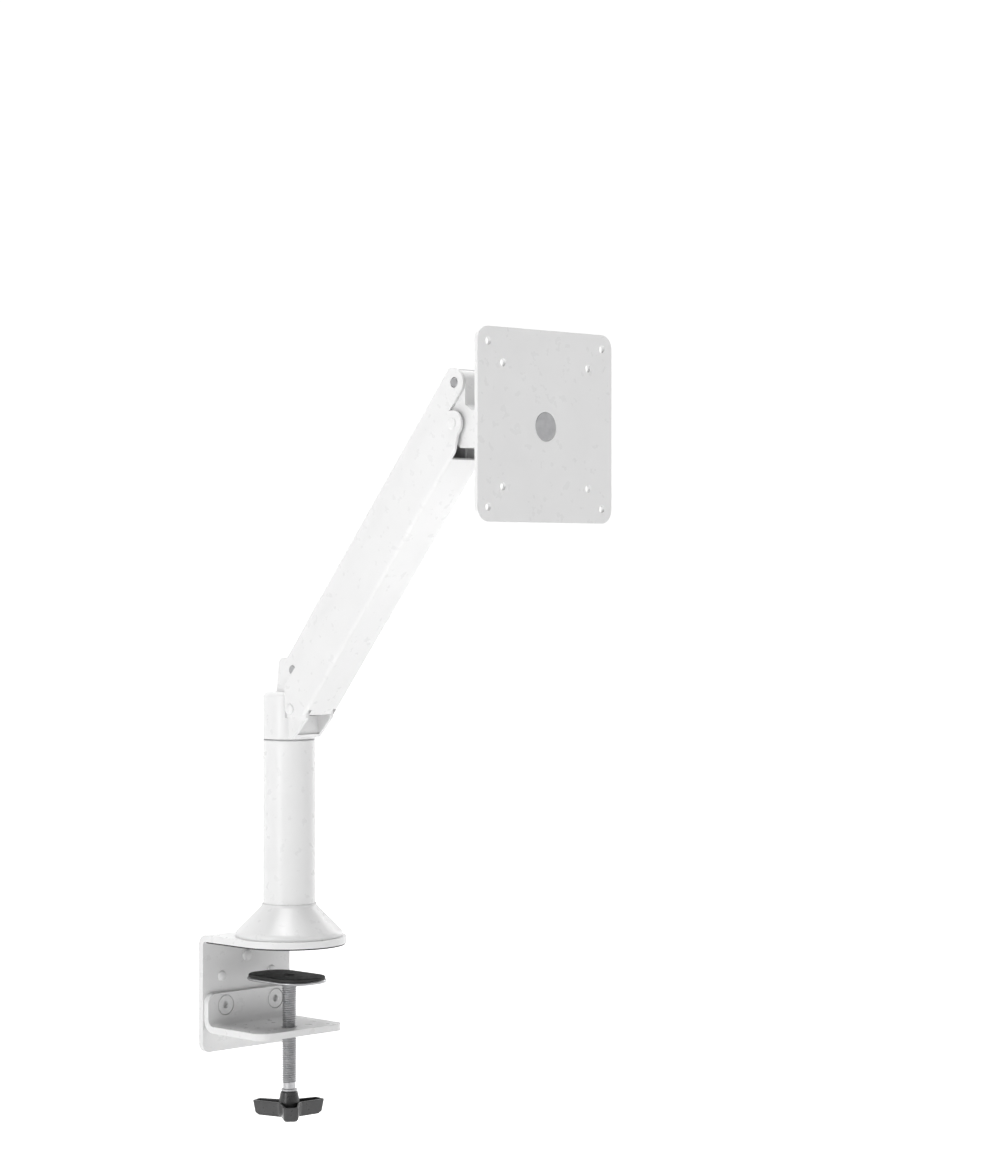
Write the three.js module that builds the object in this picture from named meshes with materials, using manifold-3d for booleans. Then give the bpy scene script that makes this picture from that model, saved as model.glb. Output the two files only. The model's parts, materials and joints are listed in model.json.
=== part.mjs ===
// Desk-clamped monitor arm: clamp, column, swivelling head, two parallel links with a gas spring,
// and a tip that pans, tilts and rolls a screen plate. Millimetres, +Z up. The origin is on the
// column axis at the desktop surface. The screen side is -Y and the desk edge is on +Y.
import * as THREE from 'three';
import { mergeVertices } from 'three/addons/utils/BufferGeometryUtils.js';
import Module from 'manifold-3d';

const wasm = await Module();
wasm.setup();

// ---- driving dimensions -------------------------------------------------------------------
const GAP = 0.3; // running clearance between pieces
const CLEAR = 20; // how far a cutting solid runs past what it cuts

// clamp
const PAD_T = 1; // rubber under the top plate
const SHEET_T = 4.5; // steel sheet of both brackets
const CLAMP_HALF_W = 38.5;
const PAD_INSET = 0.8; // the rubber's edge, in from the steel's
const BEND_R = 2.5; // inside radius of the top bend
const DESK_EDGE_Y = 44; // face of the back plate that meets the desk edge
const BACK_BOTTOM_Z = -74;
const BACK_CORNER_R = 6;
const LOWER_HALF_W = 37.5;
const LOWER_TOP_Z = -34.3; // top of the lower bracket's upright leg
const LOWER_PLATE_Z = -60; // underside of its plate
const LOWER_FRONT_Y = -15.5;
const LOWER_BEND_R = 4.5; // inside radius
const LOWER_TOP_CORNER_R = 6.5;
const LOWER_FRONT_CORNER_R = 9;
const FIXING_X = 22; // bracket screws and hole plugs, each side of the middle
const FIXING_Z = -42.6;
const FIXING_PITCH = 19; // height positions of the lower bracket
const SCREW_HEAD_R = 6.5;
const M6_R = 3;
const M6_KEY = 4; // hexagonal key, across flats
const PLUG_SHANK_R = 2.6;
const PLUG_DOME_R = 3.6;
const MIDDLE_DOME_R = 4.1;
const MIDDLE_PLUG_Z = -11.4;

// clamp screw and pressure pad
const PRESSURE_TOP_Z = -20.8;
const RUBBER_T = 2;
const PLATE_T = 2.2;
const PRESSURE_W = 38;
const PRESSURE_L = 57;
const PRESSURE_Y = 2.5; // the pad sits a little behind the screw's middle
const PRESSURE_CORNER_R = 15.5;
const M10_R = 4.8;
const M10_HOLE_R = 5.3;
const RIVET_R = 2;
const THREAD_END_Z = -92.7;
const NECK_R = 4.1;
const NECK_END_Z = -97;
const KNOB_TOP_Z = -98.7;
const KNOB_RIM_Z = -105.7;
const KNOB_BOTTOM_Z = -115.5;
const KNOB_LOBE_R = 25.5;
const KNOB_END = 5.2; // half the width of a lobe's blunt end
const KNOB_WAIST_R = 8.2; // where the hollow flanks come nearest to the axis
const KNOB_WALL = 2.2;
const KNOB_TAPER = 0.92; // its foot is smaller than its rim by this
const KNOB_CORE_R = 3.4; // the screw's tail inside it
const KNOB_ANGLE = THREE.MathUtils.degToRad(-128); // where its first lobe points

// column
const TUBE_R = 17.5;
const TUBE_WALL = 2;
const TUBE_TOP_Z = 137;
const FOOT_R = 26;
const FOOT_T = 6;
const FOOT_BORE_R = 9;
const SPIGOT_H = 26;
const FOOT_HEAD_R = 6; // heads of the screws that hold the foot
const CONE_R = 36;
const CONE_TOP_Z = 27.6;
const CONE_WALL = 2.4;
const CONE_EDGE_R = 4; // soft edge at the cover's foot
const CONE_RIM_H = 1.5; // upright rim below that edge
const COLLAR_R = 18.5;
const SPINDLE_R = 12;
const STUB_R = 8; // the spindle's upper end, fast in the head
const STUB_H = 13;
const BUSH_LENGTH = 40;
const FLANGE_T = 0.6; // swivel bush flange, the thin ring at the seam
const HEAD_BOTTOM_Z = TUBE_TOP_Z + FLANGE_T + GAP;
const HEAD_SHOULDER_Z = 165.6;
const HEAD_SHOULDER_R = 4;

// arm
const LIFT = THREE.MathUtils.degToRad(50); // slope of the arm at rest
const ROOT = { y: -16.7, z: 158.5 }; // lower pivot on the head
const LINK_LENGTH = 240; // pivot to pivot
const PIVOT_RISE = 26; // upper pivot above the lower one
const LINK_HALF_W = 14;
const LINK_SHEET = 1.8;
const LINK_FLOOR_T = -13.3; // underside of the lower link, below its pivot line
const LINK_TOP_T = 14;
const UPPER_HALF_W = 11.8;
const UPPER_SHEET = 1.6;
const UPPER_TOP_T = 10.6;
const PIVOT_BOSS_R = 8;
const PIN_R = 3;
const CHEEK_OUT = 9.8; // outer faces of the head's and the tip's cheeks
const CHEEK_IN = 7.6;
const BRIDGE_T = 4.5; // the bar between the head's cheeks that holds the tension screw
const TENSION_Y = -5;
const TENSION_R = 2.7;
const BRACKET_OUT = 11.9; // outer faces of the head's wedge bracket
const BRACKET_IN = 9.7;

// gas spring
const SPRING_FOOT = { y: ROOT.y - 2, z: ROOT.z + 12 };
const ANCHOR = { s: 196, t: -9 }; // on the upper link, from its root pivot
const SPRING_PIN_R = 2.5;
const SPRING_TUBE_R = 9;
const SPRING_BORE_R = 7.6;
const SPRING_ROD_R = 4;
const TUBE_START = 26; // along the spring from its foot
const TUBE_END = 140;
const EYE_PLAY = 2.8; // free play round the pin in the rod's eye

// tip
const PAN_FORWARD = 25; // pan axis, ahead of the tip pivots
const TILT_FORWARD = 21; // tilt axis, ahead of the pan axis
const FACE_FORWARD = 23; // screen plate's front face, ahead of the tilt axis
const TILT_DROP = 3.8; // tilt axis below the tip's lower pivot
const HUB_R = 11;
const HUB_HALF_H = 13;
const EAR_T = 5.5;
const PAN_BOLT_R = 4;
const WASHER_T = 0.8;
const BARREL_R = 9;
const BARREL_HALF_W = 9.5;
const SCREEN_PLATE = 118;
const SCREEN_PLATE_T = 2.6;
const PLATE_CORNER_R = 9;
const HOLE_PATTERNS = [75, 100];
const M4_HOLE_R = 2.4;
const WEB_T = 4; // round web of the screen carrier
const WEB_R = 26;
const ROLL_R = 6;
const ROLL_HEAD_R = 9;
const CARRIER_T = 3;

// derived places
const TOP_PLATE_Z = PAD_T + SHEET_T;
const TIP = {
  y: ROOT.y - LINK_LENGTH * Math.cos(LIFT),
  z: ROOT.z + LINK_LENGTH * Math.sin(LIFT),
};
const PAN_Y = TIP.y - PAN_FORWARD;
const TILT_Y = PAN_Y - TILT_FORWARD;
const TILT_Z = TIP.z - TILT_DROP;
const FACE_Y = TILT_Y - FACE_FORWARD;

// facets on round faces and steps on the arcs of outlines
const FACETS = { small: 10, medium: 16, large: 32 };
const STEPS = { small: 2, medium: 3, large: 10 };

// ---- materials ----------------------------------------------------------------------------
function finish(color, roughness, metalness) {
  return { color, roughness, metalness };
}
const WHITE = finish(0xe9e9e8, 0.45, 0);
const GREY_PLASTIC = finish(0x8f9193, 0.5, 0);
const BLACK_PLASTIC = finish(0x1b1b1c, 0.4, 0);
const RUBBER = finish(0x151516, 0.85, 0);
const STEEL = finish(0x9b9da0, 0.35, 1);
const DARK_STEEL = finish(0x3a3b3d, 0.4, 1);

// ---- solids -------------------------------------------------------------------------------
const object = new THREE.Group();

// A closed solid from a geometry: vertices are merged and collapsed triangles are dropped.
function solid(geometry) {
  const bare = geometry.clone();
  bare.deleteAttribute('normal');
  bare.deleteAttribute('uv');
  const merged = mergeVertices(bare, 1e-4);
  const index = merged.index.array;
  const triangles = [];
  for (let i = 0; i < index.length; i += 3) {
    const [a, b, c] = [index[i], index[i + 1], index[i + 2]];
    if (a !== b && b !== c && c !== a) triangles.push(a, b, c);
  }
  return new wasm.Manifold(new wasm.Mesh({
    numProp: 3,
    vertProperties: Float32Array.from(merged.attributes.position.array),
    triVerts: Uint32Array.from(triangles),
  }));
}

// Adds one named piece to a parent.
function piece(name, shape, look, parent = object) {
  const mesh = shape.getMesh();
  const geometry = new THREE.BufferGeometry();
  geometry.setAttribute('position', new THREE.BufferAttribute(mesh.vertProperties, 3));
  geometry.setIndex(new THREE.BufferAttribute(mesh.triVerts, 1));
  geometry.computeVertexNormals();
  const node = new THREE.Mesh(geometry, new THREE.MeshStandardMaterial(look));
  node.name = name;
  parent.add(node);
  return node;
}

// A closed outline whose corners are [x, y, radius]; the radius may be left out.
function outline(corners) {
  const shape = new THREE.Shape();
  corners.forEach(([x, y, radius = 0], i) => {
    const corner = new THREE.Vector2(x, y);
    const before = corners[(i + corners.length - 1) % corners.length];
    const after = corners[(i + 1) % corners.length];
    const back = new THREE.Vector2(before[0], before[1]).sub(corner).normalize();
    const ahead = new THREE.Vector2(after[0], after[1]).sub(corner).normalize();
    if (radius === 0) {
      if (i === 0) shape.moveTo(x, y);
      else shape.lineTo(x, y);
      return;
    }
    const half = Math.acos(THREE.MathUtils.clamp(back.dot(ahead), -1, 1)) / 2;
    const start = corner.clone().addScaledVector(back, radius / Math.tan(half));
    const end = corner.clone().addScaledVector(ahead, radius / Math.tan(half));
    const inward = back.clone().add(ahead).normalize();
    const centre = corner.clone().addScaledVector(inward, radius / Math.sin(half));
    if (i === 0) shape.moveTo(start.x, start.y);
    else shape.lineTo(start.x, start.y);
    shape.absarc(
      centre.x, centre.y, radius,
      Math.atan2(start.y - centre.y, start.x - centre.x),
      Math.atan2(end.y - centre.y, end.x - centre.x),
      back.cross(ahead) > 0,
    );
  });
  shape.closePath();
  return shape;
}

const AXIS = {
  x: new THREE.Vector3(1, 0, 0),
  y: new THREE.Vector3(0, 1, 0),
  z: new THREE.Vector3(0, 0, 1),
};

function extruded(shape, from, to, steps, u, v, w) {
  const geometry = new THREE.ExtrudeGeometry(shape, {
    depth: to - from,
    bevelEnabled: false,
    curveSegments: steps,
  });
  geometry.translate(0, 0, from);
  geometry.applyMatrix4(new THREE.Matrix4().makeBasis(u, v, w));
  return solid(geometry);
}

// Outlines drawn in (Y, Z), (X, Y) or (X, Z), run along the third axis.
function alongX(shape, from, to, steps = STEPS.small) {
  return extruded(shape, from, to, steps, AXIS.y, AXIS.z, AXIS.x);
}
function alongZ(shape, from, to, steps = STEPS.small) {
  return extruded(shape, from, to, steps, AXIS.x, AXIS.y, AXIS.z);
}
function alongY(shape, from, to, steps = STEPS.small) {
  return extruded(shape, -to, -from, steps, AXIS.x, AXIS.z, AXIS.y.clone().negate());
}

function rectangle(x0, y0, x1, y1, radius = 0) {
  return outline([[x0, y0, radius], [x1, y0, radius], [x1, y1, radius], [x0, y1, radius]]);
}

function block(x0, x1, y0, y1, z0, z1) {
  return alongZ(rectangle(x0, y0, x1, y1), z0, z1);
}

// A turned solid about Z from [radius, height] corners, listed anticlockwise.
function turned(corners, segments = FACETS.medium) {
  const points = corners.map(([radius, height]) => new THREE.Vector2(radius, height));
  const onAxis = corners[0][0] === 0 && corners[corners.length - 1][0] === 0;
  if (!onAxis) points.push(points[0].clone());
  const geometry = new THREE.LatheGeometry(points, segments);
  geometry.rotateX(Math.PI / 2);
  return solid(geometry);
}

function cylinder(radius, z0, z1, segments = FACETS.medium) {
  return turned([[0, z0], [radius, z0], [radius, z1], [0, z1]], segments);
}
function ring(inner, outer, z0, z1, segments = FACETS.medium) {
  return turned([[inner, z0], [outer, z0], [outer, z1], [inner, z1]], segments);
}
// The same about X or Y, through a point of the other two coordinates.
function turnToX(shape, y, z) {
  return shape.rotate([0, 90, 0]).translate([0, y, z]);
}
function turnToY(shape, x, z) {
  return shape.rotate([90, 0, 0]).translate([x, 0, z]);
}
function pinX(radius, x0, x1, y, z, segments = FACETS.small) {
  return turnToX(cylinder(radius, x0, x1, segments), y, z);
}
function pinY(radius, y0, y1, x, z, segments = FACETS.small) {
  return turnToY(cylinder(radius, -y1, -y0, segments), x, z);
}
function pinZ(radius, z0, z1, x, y, segments = FACETS.small) {
  return cylinder(radius, z0, z1, segments).translate([x, y, 0]);
}

// An arc of a turned profile, from one angle to another, ends included.
function arc(cx, cy, radius, from, to, steps) {
  return Array.from({ length: steps + 1 }, (_, i) => {
    const angle = THREE.MathUtils.degToRad(from + (to - from) * i / steps);
    return [cx + radius * Math.cos(angle), cy + radius * Math.sin(angle)];
  });
}

// A hexagonal socket for a key, across flats, run along Z.
function hexSocket(acrossFlats, z0, z1) {
  return cylinder(acrossFlats / Math.sqrt(3), z0, z1, 6);
}

// A countersunk M6 screw along Z with its flat face at z = 0 and its shank going to -length.
const SOCKET_SHARE = 0.8; // of the head's depth
function countersunkScrew(headR, length) {
  const depth = headR - M6_R;
  return turned([[0, -length], [M6_R, -length], [M6_R, -depth], [headR, 0], [0, 0]])
    .subtract(hexSocket(M6_KEY, -depth * SOCKET_SHARE, 1));
}
function countersunkHole(headR) {
  const depth = headR - M6_R;
  const wide = headR + GAP;
  const narrow = M6_R + GAP;
  return turned([[0, -CLEAR], [narrow, -CLEAR], [narrow, -depth], [wide, 0], [wide, 1], [0, 1]]);
}

// A low dome's profile, from its rim at a height up to the axis.
function dome(radius, rimZ, squash) {
  const profile = arc(0, 0, radius, 0, 90, STEPS.medium).map(([r, h]) => [r, rimZ + h * squash]);
  profile[profile.length - 1][0] = 0;
  return profile;
}

// ---- clamp --------------------------------------------------------------------------------
const SIDES = [['left', -1], ['right', 1]];
const FOOT_SCREW_CIRCLE = 19;
const FOOT_SCREWS = [90, 210, 330].map((degrees) => {
  const angle = THREE.MathUtils.degToRad(degrees);
  return [FOOT_SCREW_CIRCLE * Math.cos(angle), FOOT_SCREW_CIRCLE * Math.sin(angle)];
});
const PLUGS = [
  ['upper_left', -FIXING_X, FIXING_Z + FIXING_PITCH, PLUG_DOME_R],
  ['upper_right', FIXING_X, FIXING_Z + FIXING_PITCH, PLUG_DOME_R],
  ['lower_left', -FIXING_X, FIXING_Z - FIXING_PITCH, PLUG_DOME_R],
  ['lower_right', FIXING_X, FIXING_Z - FIXING_PITCH, PLUG_DOME_R],
  ['middle', 0, MIDDLE_PLUG_Z, MIDDLE_DOME_R],
];

// The top plate's plan: a half round about the column with straight sides to the back.
function clampPlan(halfW, backY) {
  const plan = new THREE.Shape();
  plan.moveTo(halfW, 0);
  plan.lineTo(halfW, backY);
  plan.lineTo(-halfW, backY);
  plan.lineTo(-halfW, 0);
  plan.absarc(0, 0, halfW, Math.PI, 2 * Math.PI, false);
  return plan;
}

function clampBracket() {
  const backY = DESK_EDGE_Y + SHEET_T;
  const frontY = -CLAMP_HALF_W - 1;
  const bentSheet = outline([
    [frontY, PAD_T], [DESK_EDGE_Y, PAD_T, BEND_R], [DESK_EDGE_Y, BACK_BOTTOM_Z],
    [backY, BACK_BOTTOM_Z], [backY, TOP_PLATE_Z, BEND_R + SHEET_T], [frontY, TOP_PLATE_Z],
  ]);
  const backView = outline([
    [-CLAMP_HALF_W, BACK_BOTTOM_Z, BACK_CORNER_R], [CLAMP_HALF_W, BACK_BOTTOM_Z, BACK_CORNER_R],
    [CLAMP_HALF_W, CLEAR], [-CLAMP_HALF_W, CLEAR],
  ]);
  let sheet = alongX(bentSheet, -CLAMP_HALF_W - 1, CLAMP_HALF_W + 1, STEPS.medium)
    .intersect(alongZ(clampPlan(CLAMP_HALF_W, backY + 1), BACK_BOTTOM_Z - 1, CLEAR, STEPS.large))
    .intersect(alongY(backView, frontY - 1, backY + 1, STEPS.medium));
  for (const [, x, z] of PLUGS) {
    sheet = sheet.subtract(pinY(PLUG_SHANK_R + GAP, DESK_EDGE_Y - 1, backY + 1, x, z));
  }
  for (const [, side] of SIDES) {
    sheet = sheet.subtract(pinY(M6_R + GAP, DESK_EDGE_Y - 1, backY + 1, side * FIXING_X, FIXING_Z));
  }
  for (const [x, y] of FOOT_SCREWS) {
    sheet = sheet.subtract(countersunkHole(FOOT_HEAD_R).rotate([180, 0, 0]).translate([x, y, PAD_T]));
  }
  return sheet;
}

function deskPad() {
  return alongZ(clampPlan(CLAMP_HALF_W - PAD_INSET, DESK_EDGE_Y - BEND_R), 0, PAD_T, STEPS.large);
}

function lowerBracket() {
  const backY = DESK_EDGE_Y;
  const faceY = backY - SHEET_T;
  const plateTop = LOWER_PLATE_Z + SHEET_T;
  const bentSheet = outline([
    [faceY, LOWER_TOP_Z], [faceY, plateTop, LOWER_BEND_R], [LOWER_FRONT_Y, plateTop],
    [LOWER_FRONT_Y, LOWER_PLATE_Z], [backY, LOWER_PLATE_Z, LOWER_BEND_R + SHEET_T],
    [backY, LOWER_TOP_Z],
  ]);
  const topR = LOWER_TOP_CORNER_R;
  const frontView = outline([
    [-LOWER_HALF_W, LOWER_PLATE_Z - 1], [LOWER_HALF_W, LOWER_PLATE_Z - 1],
    [LOWER_HALF_W, LOWER_TOP_Z, topR], [-LOWER_HALF_W, LOWER_TOP_Z, topR],
  ]);
  const frontR = LOWER_FRONT_CORNER_R;
  const plan = outline([
    [-LOWER_HALF_W, LOWER_FRONT_Y, frontR], [LOWER_HALF_W, LOWER_FRONT_Y, frontR],
    [LOWER_HALF_W, backY + 1], [-LOWER_HALF_W, backY + 1],
  ]);
  let sheet = alongX(bentSheet, -LOWER_HALF_W - 1, LOWER_HALF_W + 1, STEPS.medium)
    .intersect(alongY(frontView, LOWER_FRONT_Y - 1, backY + 1, STEPS.medium))
    .intersect(alongZ(plan, LOWER_PLATE_Z - 1, LOWER_TOP_Z + 1, STEPS.medium))
    .subtract(pinZ(M10_HOLE_R, LOWER_PLATE_Z - 1, plateTop + 1, 0, 0, FACETS.medium));
  for (const [, side] of SIDES) {
    const hole = countersunkHole(SCREW_HEAD_R).rotate([90, 0, 0]);
    sheet = sheet.subtract(hole.translate([side * FIXING_X, faceY, FIXING_Z]));
  }
  return sheet;
}

piece('desk_pad', deskPad(), RUBBER);
piece('clamp_bracket', clampBracket(), WHITE);
piece('lower_bracket', lowerBracket(), WHITE);

for (const [side, sign] of SIDES) {
  const screw = countersunkScrew(SCREW_HEAD_R, 2 * SHEET_T - GAP).rotate([90, 0, 0]);
  const place = [sign * FIXING_X, DESK_EDGE_Y - SHEET_T, FIXING_Z];
  piece(`bracket_screw_${side}`, screw.translate(place), WHITE);
}

// Domed plugs close the threaded holes that the lower bracket isn't using.
const PLUG_SQUASH = 0.45;
for (const [place, x, z, domeR] of PLUGS) {
  const tail = GAP - SHEET_T;
  const plug = turned([
    [0, tail], [PLUG_SHANK_R, tail], [PLUG_SHANK_R, GAP], ...dome(domeR, GAP, PLUG_SQUASH),
  ], FACETS.small);
  piece(`hole_plug_${place}`, plug.rotate([90, 0, 0]).translate([x, DESK_EDGE_Y, z]), WHITE);
}

// ---- pressure pad, clamp screw and knob -----------------------------------------------------
const PLATE_TOP_Z = PRESSURE_TOP_Z - RUBBER_T;
const PLATE_BOTTOM_Z = PLATE_TOP_Z - PLATE_T;

function pressureOutline(inset) {
  const halfW = PRESSURE_W / 2 - inset;
  const halfL = PRESSURE_L / 2 - inset;
  return rectangle(
    -halfW, PRESSURE_Y - halfL, halfW, PRESSURE_Y + halfL, PRESSURE_CORNER_R - inset,
  );
}

const RIVET_HEAD_R = 3.1;
const RIVET_DEPTH = 6; // into the screw's end, below the plate
const RUBBER_HOLE_R = RIVET_HEAD_R + 1.1;
const RUBBER_INSET = 0.4;
piece('pressure_rubber', alongZ(
  pressureOutline(RUBBER_INSET), PLATE_TOP_Z, PRESSURE_TOP_Z, STEPS.medium,
).subtract(pinZ(RUBBER_HOLE_R, PLATE_TOP_Z - 1, PRESSURE_TOP_Z + 1, 0, 0)), RUBBER);
piece('pressure_plate', alongZ(pressureOutline(0), PLATE_BOTTOM_Z, PLATE_TOP_Z, STEPS.medium)
  .subtract(pinZ(RIVET_R + GAP, PLATE_BOTTOM_Z - 1, PLATE_TOP_Z + 1, 0, 0)), STEEL);

// An M10 screw with a plain neck and a collar above the knob, drilled at the top for the rivet.
function clampScrew() {
  const top = PLATE_BOTTOM_Z - GAP;
  const tail = KNOB_BOTTOM_Z + 5;
  const collarZ = KNOB_TOP_Z + GAP;
  const collarR = M10_R + 0.4;
  const drillR = RIVET_R + GAP;
  const drillEnd = PLATE_BOTTOM_Z - RIVET_DEPTH - 1;
  return turned([
    [0, tail], [KNOB_CORE_R, tail], [KNOB_CORE_R, collarZ], [collarR, collarZ],
    [collarR, NECK_END_Z], [NECK_R, NECK_END_Z], [NECK_R, THREAD_END_Z], [M10_R, THREAD_END_Z],
    [M10_R, top], [drillR, top], [drillR, drillEnd], [0, drillEnd],
  ], FACETS.medium);
}
piece('clamp_screw', clampScrew(), STEEL);

// The rivet holds the pressure plate on the screw and lets the screw turn in it.
function padRivet() {
  const seat = PLATE_TOP_Z + 0.1;
  const tail = PLATE_BOTTOM_Z - RIVET_DEPTH;
  return turned([
    [0, tail], [RIVET_R, tail], [RIVET_R, seat], [RIVET_HEAD_R, seat],
    [RIVET_HEAD_R - 0.3, seat + 0.7], [0, seat + 0.9],
  ], FACETS.small);
}
piece('pad_rivet', padRivet(), STEEL);

// Three lobes with blunt ends and hollow flanks between them.
function knobOutline(reach, halfEnd, waist) {
  const endR = 2.2;
  const waistR = 6;
  const corners = [];
  for (let lobe = 0; lobe < 3; lobe += 1) {
    const along = KNOB_ANGLE + lobe * 2 * Math.PI / 3;
    const hollow = along + Math.PI / 3;
    for (const side of [-1, 1]) {
      corners.push([
        reach * Math.cos(along) - side * halfEnd * Math.sin(along),
        reach * Math.sin(along) + side * halfEnd * Math.cos(along),
        endR,
      ]);
    }
    corners.push([waist * Math.cos(hollow), waist * Math.sin(hollow), waistR]);
  }
  return outline(corners);
}

function clampKnob() {
  const body = alongZ(knobOutline(KNOB_LOBE_R, KNOB_END, KNOB_WAIST_R), KNOB_BOTTOM_Z, KNOB_RIM_Z)
    .warp((point) => {
      const rise = (point[2] - KNOB_BOTTOM_Z) / (KNOB_RIM_Z - KNOB_BOTTOM_Z);
      const scale = THREE.MathUtils.lerp(KNOB_TAPER, 1, rise);
      point[0] *= scale;
      point[1] *= scale;
    });
  const pocket = alongZ(
    knobOutline(KNOB_LOBE_R - KNOB_WALL, KNOB_END - KNOB_WALL, KNOB_WAIST_R - KNOB_WALL),
    KNOB_BOTTOM_Z + KNOB_WALL, KNOB_RIM_Z + 1,
  );
  const hubFoot = KNOB_BOTTOM_Z + 1;
  const hub = turned([
    [0, hubFoot], [7.4, hubFoot], [7.2, KNOB_RIM_Z], [5.8, KNOB_TOP_Z - 0.7], [5.4, KNOB_TOP_Z],
    [0, KNOB_TOP_Z],
  ]);
  const bore = cylinder(KNOB_CORE_R + GAP, KNOB_BOTTOM_Z + 4, KNOB_TOP_Z + 1);
  return body.subtract(pocket).add(hub).subtract(bore);
}
piece('clamp_knob', clampKnob(), BLACK_PLASTIC);

// ---- column ---------------------------------------------------------------------------------
const TUBE_IN = TUBE_R - TUBE_WALL;
const FOOT_TOP_Z = TOP_PLATE_Z + FOOT_T;
const SPIGOT_TOP_Z = FOOT_TOP_Z + SPIGOT_H;

// A flange on the top plate with a spigot inside the tube; both have a 1 mm chamfer.
function columnFoot() {
  const spigotR = TUBE_IN - GAP;
  let foot = turned([
    [FOOT_BORE_R, TOP_PLATE_Z], [FOOT_R, TOP_PLATE_Z], [FOOT_R, FOOT_TOP_Z - 1],
    [FOOT_R - 1, FOOT_TOP_Z], [spigotR, FOOT_TOP_Z], [spigotR, SPIGOT_TOP_Z - 1],
    [spigotR - 1, SPIGOT_TOP_Z], [FOOT_BORE_R, SPIGOT_TOP_Z],
  ], FACETS.medium);
  for (const [x, y] of FOOT_SCREWS) {
    foot = foot.subtract(pinZ(M6_R + GAP, TOP_PLATE_Z - 1, FOOT_TOP_Z + 1, x, y));
  }
  return foot;
}
piece('column_foot', columnFoot(), DARK_STEEL);

FOOT_SCREWS.forEach(([x, y], i) => {
  const screw = countersunkScrew(FOOT_HEAD_R, SHEET_T + FOOT_T - GAP).rotate([180, 0, 0]);
  piece(`foot_screw_${i + 1}`, screw.translate([x, y, PAD_T]), DARK_STEEL);
});

// A thin cover that slopes at 45 degrees, with a soft bottom edge and a short collar at the tube.
function baseCover() {
  const edgeZ = TOP_PLATE_Z + CONE_RIM_H;
  const edge = arc(CONE_R - CONE_EDGE_R, edgeZ, CONE_EDGE_R, 0, 45, STEPS.medium);
  const [slopeR, slopeZ] = edge[edge.length - 1];
  const outerZ = (radius) => slopeZ + slopeR - radius;
  const innerZ = (radius) => outerZ(radius) - Math.SQRT2 * CONE_WALL;
  const boreR = TUBE_R + GAP;
  const rimR = CONE_R - CONE_WALL;
  return turned([
    [rimR, TOP_PLATE_Z], [CONE_R, TOP_PLATE_Z], ...edge, [COLLAR_R, outerZ(COLLAR_R)],
    [COLLAR_R, CONE_TOP_Z], [boreR, CONE_TOP_Z], [boreR, innerZ(boreR)], [rimR, innerZ(rimR)],
  ], FACETS.large);
}
piece('base_cover', baseCover(), WHITE);

piece('column_tube', ring(TUBE_IN, TUBE_R, FOOT_TOP_Z, TUBE_TOP_Z, FACETS.large), WHITE);

const BUSH_BOTTOM_Z = TUBE_TOP_Z - BUSH_LENGTH;
piece('swivel_bush', turned([
  [SPINDLE_R + GAP, BUSH_BOTTOM_Z], [TUBE_IN - GAP, BUSH_BOTTOM_Z], [TUBE_IN - GAP, TUBE_TOP_Z],
  [TUBE_R, TUBE_TOP_Z], [TUBE_R, TUBE_TOP_Z + FLANGE_T], [SPINDLE_R + GAP, TUBE_TOP_Z + FLANGE_T],
], FACETS.large), GREY_PLASTIC);

const RING_Z = BUSH_BOTTOM_Z - 2;
const RING_T = 1.2;
const STUB_TOP_Z = HEAD_BOTTOM_Z + STUB_H;

// The spindle turns in the bush and a ring in its groove keeps it from lifting out.
function swivelSpindle() {
  const grooveR = SPINDLE_R - 1.3;
  const grooveTop = RING_Z + RING_T + GAP;
  const shoulderZ = HEAD_BOTTOM_Z - GAP;
  return turned([
    [0, RING_Z - 4], [SPINDLE_R - 1, RING_Z - 4], [SPINDLE_R, RING_Z - 3],
    [SPINDLE_R, RING_Z - GAP], [grooveR, RING_Z - GAP], [grooveR, grooveTop],
    [SPINDLE_R, grooveTop], [SPINDLE_R, shoulderZ], [STUB_R, shoulderZ], [STUB_R, STUB_TOP_Z],
    [0, STUB_TOP_Z],
  ], FACETS.medium);
}
piece('swivel_spindle', swivelSpindle(), DARK_STEEL);
piece('retaining_ring', ring(
  SPINDLE_R - 1, SPINDLE_R + 2.4, RING_Z, RING_Z + RING_T, FACETS.medium,
), STEEL);

// ---- head -----------------------------------------------------------------------------------
const POCKET_FLOOR_Z = ROOT.z - 6.5;
const POCKET_BACK_Y = -0.7;
const UPPER = { y: ROOT.y, z: ROOT.z + PIVOT_RISE };
const BRIDGE_TOP_Z = UPPER.z + 0.2;
const HEAD_TOP_Z = UPPER.z + PIVOT_BOSS_R;
const WEDGE_FLOOR_Z = HEAD_BOTTOM_Z + 1.1;
const WEDGE_FLOOR_T = 2.3;

// The round barrel, flattened on both sides where the arm's walls pass.
function headBarrel() {
  const shoulder = arc(
    TUBE_R - HEAD_SHOULDER_R, HEAD_SHOULDER_Z, HEAD_SHOULDER_R, 0, 90, STEPS.medium,
  );
  let barrel = turned([
    [0, HEAD_BOTTOM_Z], [TUBE_R, HEAD_BOTTOM_Z], ...shoulder, [0, HEAD_SHOULDER_Z + HEAD_SHOULDER_R],
  ], FACETS.large);
  const flatsZ = POCKET_FLOOR_Z + 0.5;
  const flatsY = ROOT.y + 5.6;
  for (const [, side] of SIDES) {
    const [near, far] = [side * BRACKET_OUT, side * CLEAR].sort((a, b) => a - b);
    barrel = barrel.subtract(block(near, far, -CLEAR, flatsY, flatsZ, HEAD_TOP_Z));
  }
  return barrel;
}

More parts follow.
